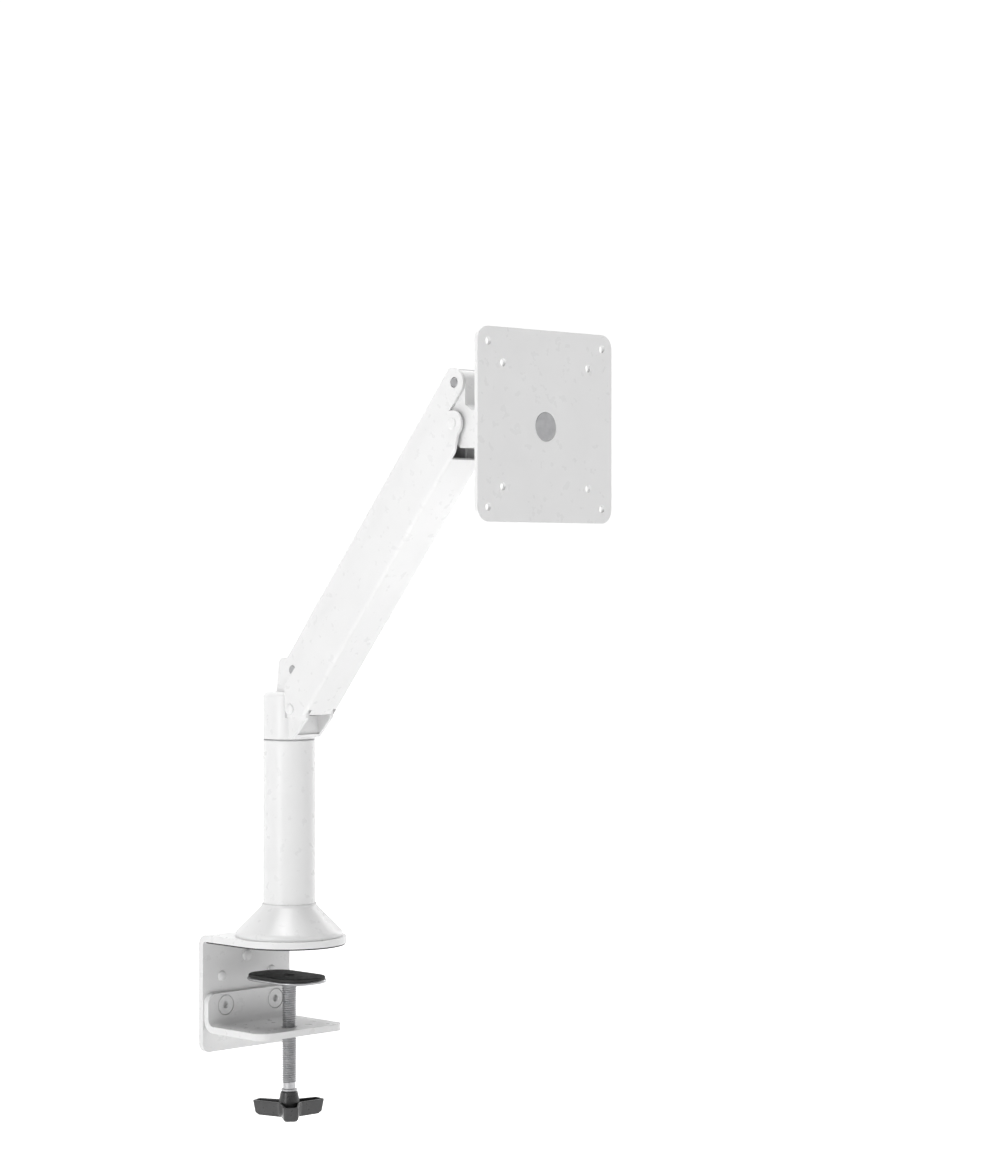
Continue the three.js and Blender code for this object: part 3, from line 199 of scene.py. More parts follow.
# ---- camera, light and floor -----------------
IMAGE_H = 1166
FOCAL_PX = 2955
HORIZON_RISE_PX = 8
CAMERA_AT = Vector((-1.302, -1.502, 0.2475))
CAMERA_YAW = math.radians(-45)
FLOOR_Z = -0.45
FLOOR_HALF = 30
LIT_POINT = (0, 0, 0.1)  # where every softbox is aimed
SURROUND = 0.06  # brightness of the studio round the arm
BACKDROP = 1.05  # and behind it


def add_to_scene(made):
    bpy.context.scene.collection.objects.link(made)
    return made


def make_camera():
    data = bpy.data.cameras.new("camera")
    data.sensor_width = 36
    data.lens = FOCAL_PX * data.sensor_width / IMAGE_H
    data.shift_y = -HORIZON_RISE_PX / IMAGE_H
    camera = add_to_scene(bpy.data.objects.new("camera", data))
    camera.location = CAMERA_AT
    camera.rotation_euler = (math.radians(90), 0, CAMERA_YAW)
    bpy.context.scene.camera = camera


def softbox(name, place, size, power):
    data = bpy.data.lights.new(name, "AREA")
    data.shape = "RECTANGLE"
    data.size, data.size_y = size
    data.energy = power
    light = add_to_scene(bpy.data.objects.new(name, data))
    light.location = place
    light.rotation_euler = (Vector(place) - Vector(LIT_POINT)).to_track_quat("Z", "Y").to_euler()


def graded(tree, value, start, end, near, far):
    """A smooth change from one brightness to another as a value runs from start to end."""
    ramp = tree.nodes.new("ShaderNodeMapRange")
    ramp.interpolation_type = "SMOOTHSTEP"
    ramp.inputs["From Min"].default_value = start
    ramp.inputs["From Max"].default_value = end
    ramp.inputs["To Min"].default_value = near
    ramp.inputs["To Max"].default_value = far
    tree.links.new(value, ramp.inputs["Value"])
    return ramp.outputs["Result"]


def make_studio():
    """A dim surround that turns white behind the arm and along the horizon."""
    world = bpy.data.worlds.new("studio")
    world.use_nodes = True
    tree = world.node_tree
    direction = tree.nodes.new("ShaderNodeTexCoord").outputs["Generated"]
    behind = tree.nodes.new("ShaderNodeVectorMath")
    behind.operation = "DOT_PRODUCT"
    behind.inputs[1].default_value = (math.sin(-CAMERA_YAW), math.cos(CAMERA_YAW), 0)
    height = tree.nodes.new("ShaderNodeSeparateXYZ")
    brighter = tree.nodes.new("ShaderNodeMath")
    brighter.operation = "MAXIMUM"
    backdrop = graded(tree, behind.outputs["Value"], 0.0, 0.93, SURROUND, BACKDROP)
    horizon = graded(tree, height.outputs["Z"], 0.08, 0.26, BACKDROP, SURROUND)
    tree.links.new(direction, behind.inputs[0])
    tree.links.new(direction, height.inputs["Vector"])
    tree.links.new(backdrop, brighter.inputs[0])
    tree.links.new(horizon, brighter.inputs[1])
    tree.links.new(brighter.outputs["Value"], tree.nodes["Background"].inputs["Strength"])
    tree.nodes["Background"].inputs["Color"].default_value = (1, 1, 1, 1)
    bpy.context.scene.world = world
    bpy.context.scene.view_settings.view_transform = "Standard"


def make_lights():
    """A tall softbox on the left, a large one overhead and a weak one behind on the right."""
    softbox("key", (-2.2, -0.2, 0.6), (0.45, 1.6), 13)
    softbox("top", (-0.05, 0, 2.3), (1.2, 1.2), 42)
    softbox("rim", (2.2, 0.3, 0.8), (0.7, 1.6), 9)


def make_floor():
    """A white floor far below the clamp with a painted glow: its emission rises with distance from the
    arm, so the floor under the arm is darker, a painted shadow.
    """
    mesh = bpy.data.meshes.new("floor")
    corners = rectangle(-FLOOR_HALF, -FLOOR_HALF, FLOOR_HALF, FLOOR_HALF)
    mesh.from_pydata([(*corner, FLOOR_Z) for corner in corners], [], [(0, 1, 2, 3)])
    material, shader = new_material("floor_white", (0.9, 0.9, 0.9), 0.9)
    tree = material.node_tree
    place = tree.nodes.new("ShaderNodeTexCoord").outputs["Object"]
    reach = tree.nodes.new("ShaderNodeVectorMath")
    reach.operation = "LENGTH"
    tree.links.new(place, reach.inputs[0])
    # painted light: no emission within 0.5 m of the arm, full emission past 1.3 m, a painted glow round
    # a painted shadow
    painted_glow = graded(tree, reach.outputs["Value"], 0.5, 1.3, 0.0, 1.0)
    tree.links.new(painted_glow, shader.inputs["Emission Strength"])
    shader.inputs["Emission Color"].default_value = (1, 1, 1, 1)
    mesh.materials.append(material)
    add_to_scene(bpy.data.objects.new("floor", mesh))


# ---- mesh tools ------------------------------
# A solid is a Blender object whose mesh is in millimetres until dress() turns it into a piece.
FINE = 96  # facets on large turned faces
ROUND = 48  # facets on small ones
ARC = 8  # steps on a rounded corner
SMOOTH_ARC = 12  # steps on a corner that shows
BOSS_ARC = 14  # and on the round end of a boss
WELD = 0.003  # vertices closer than this are one
FLAT_ANGLE = math.radians(0.4)  # faces that meet at less are one
SOFTENED_ANGLE = math.radians(30)  # edges that turn by more are rounded
SHARP_ANGLE = math.radians(35)  # and shade as corners where they aren't


def rounded(corners, steps=ARC):
    """Points of a closed outline whose corners are (x, y) or (x, y, radius)."""
    points = []
    for i, corner in enumerate(corners):
        here = Vector(corner[:2])
        radius = corner[2] if len(corner) > 2 else 0
        if not radius:
            points.append(here)
            continue
        back = (Vector(corners[i - 1][:2]) - here).normalized()
        ahead = (Vector(corners[(i + 1) % len(corners)][:2]) - here).normalized()
        half = back.angle(ahead) / 2
        centre = here + (back + ahead).normalized() * radius / math.sin(half)
        start = here + back * radius / math.tan(half) - centre
        sweep = math.copysign(math.pi - 2 * half, ahead.x * back.y - ahead.y * back.x)
        points += [centre + Matrix.Rotation(sweep * k / steps, 2) @ start for k in range(steps + 1)]
    return points


def rectangle(x0, y0, x1, y1, radius=0, steps=ARC):
    return rounded([(x0, y0, radius), (x1, y0, radius), (x1, y1, radius), (x0, y1, radius)], steps)


def panel(half_w, low, high, low_r=0, high_r=0, steps=ARC):
    """An outline with its middle at zero and its own corner radius at each end."""
    return rounded([
        (-half_w, low, low_r), (half_w, low, low_r), (half_w, high, high_r), (-half_w, high, high_r),
    ], steps)


def arc(cx, cy, radius, start, end, steps=ARC):
    """Points on an arc between two angles in degrees, ends included."""
    angles = [math.radians(start + (end - start) * k / steps) for k in range(steps + 1)]
    return [(cx + radius * math.cos(a), cy + radius * math.sin(a)) for a in angles]


def dome_profile(radius, height, steps=10):
    """(radius, height) corners of a low dome from its rim to its middle."""
    points = []
    for k in range(steps + 1):
        angle = math.pi / 2 * k / steps
        points.append((radius * math.cos(angle), height * math.sin(angle)))
    points[-1] = (0, height)
    return points


def solid(vertices, faces):
    mesh = bpy.data.meshes.new("solid")
    mesh.from_pydata([tuple(vertex) for vertex in vertices], [], faces)
    build = bmesh.new()
    build.from_mesh(mesh)
    bmesh.ops.remove_doubles(build, verts=build.verts, dist=WELD)
    bmesh.ops.recalc_face_normals(build, faces=build.faces)
    build.to_mesh(mesh)
    build.free()
    return add_to_scene(bpy.data.objects.new("solid", mesh))


def bands(rows, count):
    """The faces that join rows of points, each row a closed ring."""
    faces = []
    for row in range(0, (rows - 1) * count, count):
        for i in range(count):
            j = (i + 1) % count
            faces.append((row + i, row + j, row + count + j, row + count + i))
    return faces


def loft(rings):
    """Joins rings of equal length in turn and closes both ends."""
    count = len(rings[0])
    vertices = [point for ring_points in rings for point in ring_points]
    ends = [tuple(range(count)), tuple(range(len(vertices) - count, len(vertices)))]
    return solid(vertices, ends + bands(len(rings), count))


PLACE = {
    "x": lambda p, d: (d, p[0], p[1]),
    "y": lambda p, d: (p[0], d, p[1]),
    "z": lambda p, d: (p[0], p[1], d),
}


def prism(points, axis, low, high):
    """An outline run along an axis: (y, z) points along x, (x, z) along y, (x, y) along z."""
    return loft([[PLACE[axis](point, depth) for point in points] for depth in (low, high)])


def block(x0, x1, y0, y1, z0, z1):
    return prism(rectangle(x0, y0, x1, y1), "z", z0, z1)


TURN_TO = {
    "x": Matrix.Rotation(math.radians(90), 4, "Y"),
    "y": Matrix.Rotation(math.radians(-90), 4, "X"),
    "z": Matrix.Identity(4),
}


def turned(profile, axis="z", at=(0, 0, 0), facets=ROUND):
    """Turns (radius, distance) corners about an axis through a point."""
    if profile[0][0] > 0:
        profile = [*profile, profile[0]]
    angles = [math.tau * k / facets for k in range(facets)]
    move = Matrix.Translation(at) @ TURN_TO[axis]
    vertices = [
        move @ Vector((radius * math.cos(a), radius * math.sin(a), distance))
        for radius, distance in profile for a in angles
    ]
    return solid(vertices, bands(len(profile), facets))


def rod(radius, low, high, axis="z", at=(0, 0, 0), facets=ROUND):
    return turned([(0, low), (radius, low), (radius, high), (0, high)], axis, at, facets)


def chamfered_rod(radius, low, high, chamfer, axis="z", at=(0, 0, 0), facets=ROUND):
    return turned([
        (0, low), (radius - chamfer, low), (radius, low + chamfer), (radius, high - chamfer),
        (radius - chamfer, high), (0, high),
    ], axis, at, facets)


def ring(inner, outer, low, high, axis="z", at=(0, 0, 0), facets=ROUND):
    profile = [(inner, low), (outer, low), (outer, high), (inner, high)]
    return turned(profile, axis, at, facets)


def hexagon(across_flats, low, high, axis="z", at=(0, 0, 0)):
    return rod(across_flats / math.sqrt(3), low, high, axis, at, 6)


def combine(operation, base, tools):
    """Cuts, joins or intersects solids exactly, one by one, and removes the tools."""
    for tool in tools:
        modifier = base.modifiers.new("combine", "BOOLEAN")
        modifier.operation = operation
        modifier.solver = "EXACT"
        modifier.object = tool
        graph = bpy.context.evaluated_depsgraph_get()
        graph.update()
        mesh = bpy.data.meshes.new_from_object(base.evaluated_get(graph))
        base.modifiers.clear()
        base.data = mesh
        bpy.data.objects.remove(tool)
    return base


def cut(base, *tools):
    return combine("DIFFERENCE", base, tools)


def join(base, *tools):
    return combine("UNION", base, tools)


def keep(base, *tools):
    return combine("INTERSECT", base, tools)


def moved(made, matrix):
    made.data.transform(matrix)
    return made


def clean(mesh):
    """Welds a mesh, drops slivers and joins coplanar faces."""
    build = bmesh.new()
    build.from_mesh(mesh)
    bmesh.ops.remove_doubles(build, verts=build.verts, dist=WELD)
    bmesh.ops.dissolve_degenerate(build, edges=build.edges, dist=WELD)
    bmesh.ops.dissolve_limit(build, verts=build.verts, edges=build.edges, angle_limit=FLAT_ANGLE)
    bmesh.ops.recalc_face_normals(build, faces=build.faces)
    for face in build.faces:
        face.smooth = True
        face.material_index = 0
    build.to_mesh(mesh)
    build.free()


def dress(made, name, node, edge):
    """Turns a solid into a node's finished piece, its edges softened by a radius or left sharp."""
    mesh = made.data
    clean(mesh)
    mesh.transform(Matrix.Scale(MM, 4))
    mesh.materials.clear()
    mesh.materials.append(looks[SLOT_OF[node]])
    made.name = name
    mesh.name = name
    if edge:
        soften = made.modifiers.new("edge", "BEVEL")
        soften.width = edge * MM
        soften.segments = 3
        soften.limit_method = "ANGLE"
        soften.angle_limit = SOFTENED_ANGLE
        soften.miter_outer = "MITER_ARC"
        soften.use_clamp_overlap = True
    else:
        mesh.set_sharp_from_angle(angle=SHARP_ANGLE)
    made.modifiers.new("normals", "WEIGHTED_NORMAL").keep_sharp = True
    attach(made, BODY_OF[node])
    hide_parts(node)
    return made


# ---- clamp -----------------------------------
SHEET_T = 4.5  # steel sheet of both brackets
GAP = 0.3  # running clearance between pieces
FIXING_X = 22  # the two bracket screws stand this far from the middle
FIXING_HOLE_R = 3.3
CLAMP_SCREW_HOLE_R = 5.3
FAR = 60  # how far a cutting solid runs past what it cuts
PLUG_PLACES = ("upper_left", "upper_right", "lower_left", "lower_right", "middle")


def half_round(half_w, back_y):
    """The top plate's plan: a half round with straight sides to the back."""
    front = arc(0, 0, half_w, 180, 360, FINE // 2)
    return [(half_w, back_y), (-half_w, back_y), *front]


def bent_sheet(corners, half_w):
    """A bent sheet's side view run across the clamp, a little wider than the finished sheet."""
    return prism(rounded(corners, SMOOTH_ARC), "x", -half_w - 1, half_w + 1)


def sheet_hole(radius, x, z, low, high):
    return rod(radius, low, high, "y", (x, 0, z))


def countersink(head_r, shank_r, x, z, face):
    """A countersunk hole from a sheet's front face, with a short straight mouth."""
    mouth = 0.7
    depth = mouth + head_r - shank_r
    profile = [(0, -1), (head_r, -1), (head_r, mouth), (shank_r, depth), (shank_r, FAR), (0, FAR)]
    return turned([(r, face + d) for r, d in profile], "y", (x, 0, z), FINE)


def clamp_bracket():
    sheet = Span("clamp_bracket")
    half_w = sheet.x1
    inner_y = sheet.y1 - SHEET_T
    under = sheet.z1 - SHEET_T
    bend = 2.5
    side = [
        (sheet.y0 - 1, under), (inner_y, under, bend), (inner_y, sheet.z0), (sheet.y1, sheet.z0),
        (sheet.y1, sheet.z1, bend + SHEET_T), (sheet.y0 - 1, sheet.z1),
    ]
    back_view = panel(half_w, sheet.z0, FAR, low_r=6, steps=SMOOTH_ARC)
    made = keep(
        bent_sheet(side, half_w),
        prism(half_round(half_w, sheet.y1 + 1), "z", sheet.z0 - 1, FAR),
        prism(back_view, "y", -FAR, FAR),
    )
    level = Span("bracket_screw_left").z
    for x in (-FIXING_X, FIXING_X):
        cut(made, sheet_hole(FIXING_HOLE_R, x, level, inner_y - 1, sheet.y1 + 1))
    for place in PLUG_PLACES:
        plug = Span(f"hole_plug_{place}")
        cut(made, sheet_hole(2.9, plug.x, plug.z, inner_y - 1, sheet.y1 + 1))
    return dress(made, "bent_top_plate", "clamp_bracket", 0.5)


def desk_pad():
    pad = Span("desk_pad")
    made = prism(half_round(pad.x1, pad.y1), "z", pad.z0, pad.z1)
    return dress(made, "desk_rubber", "desk_pad", 0.25)


def lower_bracket():
    sheet = Span("lower_bracket")
    half_w = sheet.x1
    face_y = sheet.y1 - SHEET_T
    plate_top = sheet.z0 + SHEET_T
    bend = 4.5
    side = [
        (face_y, sheet.z1), (face_y, plate_top, bend), (sheet.y0, plate_top), (sheet.y0, sheet.z0),
        (sheet.y1, sheet.z0, bend + SHEET_T), (sheet.y1, sheet.z1),
    ]
    front_view = panel(half_w, sheet.z0 - 1, sheet.z1, high_r=6.5, steps=SMOOTH_ARC)
    plan = panel(half_w, sheet.y0, FAR, low_r=9, steps=BOSS_ARC)
    made = keep(
        bent_sheet(side, half_w),
        prism(front_view, "y", -FAR, FAR),
        prism(plan, "z", sheet.z0 - 1, FAR),
    )
    cut(made, rod(CLAMP_SCREW_HOLE_R, sheet.z0 - 1, plate_top + 1))
    level = Span("bracket_screw_left").z
    for x in (-FIXING_X, FIXING_X):
        cut(made, countersink(6.95, FIXING_HOLE_R, x, level, face_y))
    return dress(made, "lower_angle", "lower_bracket", 0.5)


def bracket_screw(side):
    """A flat countersunk head with a hexagonal socket, a shade below the sheet's face."""
    screw = Span(f"bracket_screw_{side}")
    at = (screw.x, 0, screw.z)
    face, tail = screw.y0 + 0.1, screw.y1
    head_r, shank_r, depth = 6.4, 3, 3.4
    profile = [
        (0, face), (head_r - 0.25, face), (head_r, face + 0.25), (head_r, face + 0.6),
        (shank_r, face + depth), (shank_r, tail), (0, tail),
    ]
    made = turned(profile, "y", at, FINE)
    socket = hexagon(4.4, face - 1, face + 3, "y", at)
    lead_in = turned(
        [(0, face - 1), (2.6, face - 1), (2.6, face), (2.3, face + 0.3), (0, face + 0.3)], "y", at,
    )
    return dress(cut(made, socket, lead_in), f"countersunk_screw_{side}", f"bracket_screw_{side}", 0.08)


def hole_plug(place):
    """A snap-in plug with a domed head that stands on the sheet."""
    plug = Span(f"hole_plug_{place}")
    at = (plug.x, 0, plug.z)
    face = Span("clamp_bracket").y1 - SHEET_T
    head_r = plug.x1 - at[0]
    proud = face - plug.y0
    rim = 0.5
    crown = [(r, face - rim - d) for r, d in dome_profile(head_r, proud - rim)]
    profile = [(0, plug.y1), (2.6, plug.y1), (2.6, face), (head_r, face), *crown]
    made = turned(profile, "y", at)
    return dress(made, f"domed_plug_{place}", f"hole_plug_{place}", 0.06)


# ---- pressure pad, clamp screw and knob ------
PAD_CORNER_R = 15.5
PAD_RIVET_HOLE_R = 2.3


def layered(levels):
    """A plate built up from (inset, height) levels of the pressure pad's outline."""
    plate = Span("pressure_plate")
    rings = []
    for inset, height in levels:
        points = rectangle(
            plate.x0 + inset, plate.y0 + inset, plate.x1 - inset, plate.y1 - inset,
            PAD_CORNER_R - inset, steps=16,
        )
        rings.append([(*point, height) for point in points])
    return loft(rings)


def pressure_rubber():
    rubber = Span("pressure_rubber")
    made = layered([
        (0.9, rubber.z0), (0.9, rubber.z1 - 0.7), (1.1, rubber.z1 - 0.25), (1.6, rubber.z1),
    ])
    cut(made, rod(3.6, rubber.z0 - 1, rubber.z1 + 1))
    return dress(made, "grip_rubber", "pressure_rubber", 0.12)


def pressure_plate():
    """A steel plate with a rolled edge that turns down all round."""
    plate = Span("pressure_plate")
    low, high = plate.z0, plate.z1
    half = (high - low) / 2
    rim = [(half - x, low + half + z) for x, z in arc(0, 0, half, 90, -90, 10)]
    underside = high - 1.2
    hollow = [(half + 0.5, low), (half + 1.1, low + 0.6), (half + 1.5, underside)]
    made = layered(rim + hollow)
    cut(made, rod(PAD_RIVET_HOLE_R, low - 1, high + 1))
    return dress(made, "pressure_disc", "pressure_plate", 0)


def helix(pitch, profile, low, high, facets=32):
    """A thread's surface: (share of the pitch, radius) corners wound round Z, level at the ends."""
    turns = math.ceil((high - low) / pitch) + 1
    rows = len(profile) * (turns + 1)
    vertices = []
    for i in range(facets):
        angle = math.tau * i / facets
        for row in range(rows):
            share, radius = profile[row % len(profile)]
            height = low + pitch * (row // len(profile) + share + i / facets - 1)
            height = min(max(height, low), high)
            vertices.append((radius * math.cos(angle), radius * math.sin(angle), height))
    faces = []
    for i in range(facets):
        shift = len(profile) if i == facets - 1 else 0
        j = (i + 1) % facets
        for row in range(rows - 1 - shift):
            a, b = i * rows + row, j * rows + row + shift
            faces.append((a, b, b + 1, a + 1))
    return vertices, faces


def threaded_rod(pitch, profile, low, high):
    """A thread's surface closed at both ends."""
    made = solid(*helix(pitch, profile, low, high))
    build = bmesh.new()
    build.from_mesh(made.data)
    bmesh.ops.dissolve_degenerate(build, edges=build.edges, dist=WELD)
    open_edges = [edge for edge in build.edges if edge.is_boundary]
    bmesh.ops.holes_fill(build, edges=open_edges)
    bmesh.ops.recalc_face_normals(build, faces=build.faces)
    build.to_mesh(made.data)
    build.free()
    return made


def clamp_screw():
    """An M10 screw at a 1.5 mm pitch with a chamfered start, a plain neck and a thin collar."""
    top = Span("clamp_screw").z1
    tail = Span("clamp_screw").z0
    thread_end, neck_end = -92.7, -97
    collar = Span("clamp_knob").z1 + GAP
    profile = [(0, 4.05), (0.16, 4.05), (0.52, 4.95), (0.64, 4.95)]
    made = threaded_rod(1.5, profile, thread_end, top)
    cut(made, turned([(4.3, top + 1), (7, top + 1), (7, top - 0.9), (5.2, top - 0.9), (4.3, top)]))
    shank = turned([
        (0, tail), (3.4, tail), (3.4, collar), (4.9, collar), (5.2, collar + 0.25),
        (5.2, neck_end - 0.75), (5.45, neck_end - 0.6), (5.45, neck_end - 0.1), (5.2, neck_end),
        (4.1, neck_end + 0.1), (4.1, thread_end + 0.6), (0, thread_end + 0.6),
    ])
    join(made, shank)
    cut(made, rod(PAD_RIVET_HOLE_R, top - 7, top + 1))
    return dress(made, "threaded_clamp_screw", "clamp_screw", 0)


def pad_rivet():
    """The rivet's spread head, dished in the middle."""
    rivet = Span("pad_rivet")
    seat = Span("pressure_plate").z1 + 0.1
    top = rivet.z1
    made = turned([
        (0, rivet.z0), (2, rivet.z0), (2, seat), (3, seat), (3.1, seat + 0.25), (2.9, top - 0.25),
        (2.3, top), (1.5, top - 0.12), (1.1, top - 0.4), (0, top - 0.45),
    ])
    return dress(made, "swivel_rivet", "pad_rivet", 0.06)


KNOB_TURN = math.radians(-128)


def lobes(reach, half_end, waist, end_r, waist_r=6.0, steps=10):
    """Plan of three blunt lobes with hollow flanks between them."""
    corners = []
    for lobe in range(3):
        along = KNOB_TURN + lobe * math.tau / 3
        hollow = along + math.pi / 3
        for side in (-1, 1):
            corners.append((
                reach * math.cos(along) - side * half_end * math.sin(along),
                reach * math.sin(along) + side * half_end * math.cos(along),
                end_r,
            ))
        corners.append((waist * math.cos(hollow), waist * math.sin(hollow), waist_r))
    return rounded(corners, steps)


def clamp_knob():
    """A moulded knob: hollow flared lobes with thin rims, a conical hub and a chamfered foot."""
    knob = Span("clamp_knob")
    rim_z, foot_z, hub_top = knob.z1 - 7, knob.z0, knob.z1
    reach, half_end, waist = 25.5, 5.2, 8.2
    wall, taper = 1.7, 0.92

    def level(height, inset, chamfer=0.0):
        rise = (height - foot_z) / (rim_z - foot_z)
        scale = taper + (1 - taper) * rise
        narrow = half_end - inset - chamfer * 0.6
        dip = waist - inset - chamfer * 0.6
        end_r = max(2.2 - inset * 0.7, 0.5)
        points = lobes(reach - inset - chamfer, narrow, dip, end_r)
        return [(point[0] * scale, point[1] * scale, height) for point in points]

    outside = [level(foot_z, 0, 1.7), level(foot_z + 1.5, 0, 0.2), level(foot_z + 2.1, 0),
               level(rim_z - 0.5, 0), level(rim_z - 0.12, 0.14), level(rim_z, 0.5)]
    inside = [level(rim_z, wall - 0.5), level(rim_z - 0.12, wall - 0.14), level(rim_z - 0.5, wall),
              level(foot_z + 2.6, wall), level(foot_z + 2.2, wall + 0.6)]
    made = loft(outside + inside)
    hub = turned([
        (0, foot_z + 1), (7.6, foot_z + 1), (7.2, rim_z - 0.4), (6.2, hub_top - 2.6),
        (5.85, hub_top - 0.6), (5.3, hub_top), (0, hub_top),
    ], facets=FINE)
    join(made, hub)
    cut(made, rod(3.7, foot_z + 4, hub_top + 1))
    return dress(made, "three_lobe_knob", "clamp_knob", 0.25)


# ---- column ----------------------------------
TUBE_WALL = 2
SPINDLE_R = 12
FOOT_SCREWS = (1, 2, 3)


def column_tube():
    tube = Span("column_tube")
    made = ring(tube.x1 - TUBE_WALL, tube.x1, tube.z0, tube.z1, facets=FINE)
    return dress(made, "tube", "column_tube", 0.4)


def base_cover():
    """A cover that slopes at 45 degrees, soft at its foot and blended into a collar at the tube."""
    cover = Span("base_cover")
    foot_r, collar_r, wall = cover.x1, 18.3, 2.4
    edge = arc(foot_r - 4, cover.z0 + 1.5, 4, 0, 45)
    slope_r, slope_z = edge[-1]
    blend = 2.4
    meet_z = slope_z + slope_r - collar_r
    hollow = arc(collar_r + blend, meet_z + blend * math.tan(math.radians(22.5)), blend, 225, 180)
    bore = Span("column_tube").x1 + GAP
    top = max(cover.z1, hollow[-1][1] + 0.2)
    inner = meet_z + collar_r - math.sqrt(2) * wall
    made = turned([
        (foot_r - wall, cover.z0), (foot_r - 0.3, cover.z0), (foot_r, cover.z0 + 0.3), *edge, *hollow,
        (collar_r - 0.15, top), (bore, top), (bore, inner - bore),
        (foot_r - wall, inner - foot_r + wall),
    ], facets=FINE)
    return dress(made, "cone_cover", "base_cover", 0)


def column_foot():
    foot = Span("column_foot")
    spigot_r = Span("column_tube").x1 - TUBE_WALL - GAP
    flange_top = Span("column_tube").z0
    made = turned([
        (9, foot.z0), (foot.x1, foot.z0), (foot.x1, flange_top - 1), (foot.x1 - 1, flange_top),
        (spigot_r, flange_top), (spigot_r, foot.z1 - 1), (spigot_r - 1, foot.z1), (9, foot.z1),
    ], facets=FINE)
    for number in FOOT_SCREWS:
        screw = Span(f"foot_screw_{number}")
        cut(made, rod(FIXING_HOLE_R, foot.z0 - 1, flange_top + 1, at=(screw.x, screw.y, 0)))
    return dress(made, "column_flange", "column_foot", 0.3)


def foot_screw(number):
    screw = Span(f"foot_screw_{number}")
    at = (screw.x, screw.y, 0)
    made = turned([
        (0, screw.z0), (5.7, screw.z0), (6, screw.z0 + 0.3), (3, screw.z0 + 3.2), (3, screw.z1 - 0.5),
        (2.5, screw.z1), (0, screw.z1),
    ], at=at)
    cut(made, hexagon(4, screw.z0 - 1, screw.z0 + 2.4, at=at))
    return dress(made, f"flange_screw_{number}", f"foot_screw_{number}", 0.1)


def swivel_bush():
    bush = Span("swivel_bush")
    tube = Span("column_tube")
    bore, body_r = SPINDLE_R + GAP, tube.x1 - TUBE_WALL - GAP
    made = turned([
        (bore, bush.z0), (body_r, bush.z0), (body_r, tube.z1), (bush.x1 - 0.25, tube.z1),
        (bush.x1 - 0.25, bush.z1), (bore, bush.z1),
    ], facets=FINE)
    return dress(made, "bearing_bush", "swivel_bush", 0.1)


def swivel_spindle():
    spindle = Span("swivel_spindle")
    keeper = Span("retaining_ring")
    shoulder = Span("head_casting").z0 - GAP
    r, groove_r, neck_r = SPINDLE_R, 10.7, 8
    made = turned([
        (0, spindle.z0), (r - 1, spindle.z0), (r, spindle.z0 + 1), (r, keeper.z0 - GAP),
        (groove_r, keeper.z0 - GAP), (groove_r, keeper.z1 + GAP), (r, keeper.z1 + GAP), (r, shoulder),
        (neck_r, shoulder), (neck_r, spindle.z1 - 0.6), (neck_r - 0.6, spindle.z1), (0, spindle.z1),
    ], facets=FINE)
    return dress(made, "turning_spindle", "swivel_spindle", 0.15)


def retaining_ring():
    """A spring ring with a gap that lets it open."""
    keeper = Span("retaining_ring")
    made = ring(11, keeper.x1, keeper.z0, keeper.z1, facets=FINE)
    cut(made, block(-1.6, 1.6, 5, 20, keeper.z0 - 1, keeper.z1 + 1))
    return dress(made, "spring_clip", "retaining_ring", 0.15)


# ---- head ------------------------------------
PIN_R = 3
PIN_HOLE_R = 3.3  # a pin turns in these
PIN_GRIP_R = 3.1  # and is held in these
BOSS_R = 8
BOSS_CORNER = BOSS_R - 0.05
CHEEK_OUT, CHEEK_IN = 9.8, 7.6
WEDGE_OUT, WEDGE_IN = 11.9, 9.7
ROOT = pivot("arm_lift")
UPPER = pivot("upper_link_swing")
TIP = pivot("tip_level")
LIFT = math.atan2(TIP.z - ROOT.z, ROOT.y - TIP.y)
LINK_LENGTH = math.hypot(TIP.z - ROOT.z, ROOT.y - TIP.y)
TENSION_AXIS = (0, pivot("tension_turn").y, 0)
POCKET_BACK = -0.7
WEDGE_BACK = -18


def cross_hole(radius, y, z):
    return rod(radius, -FAR, FAR, "x", (0, y, z))


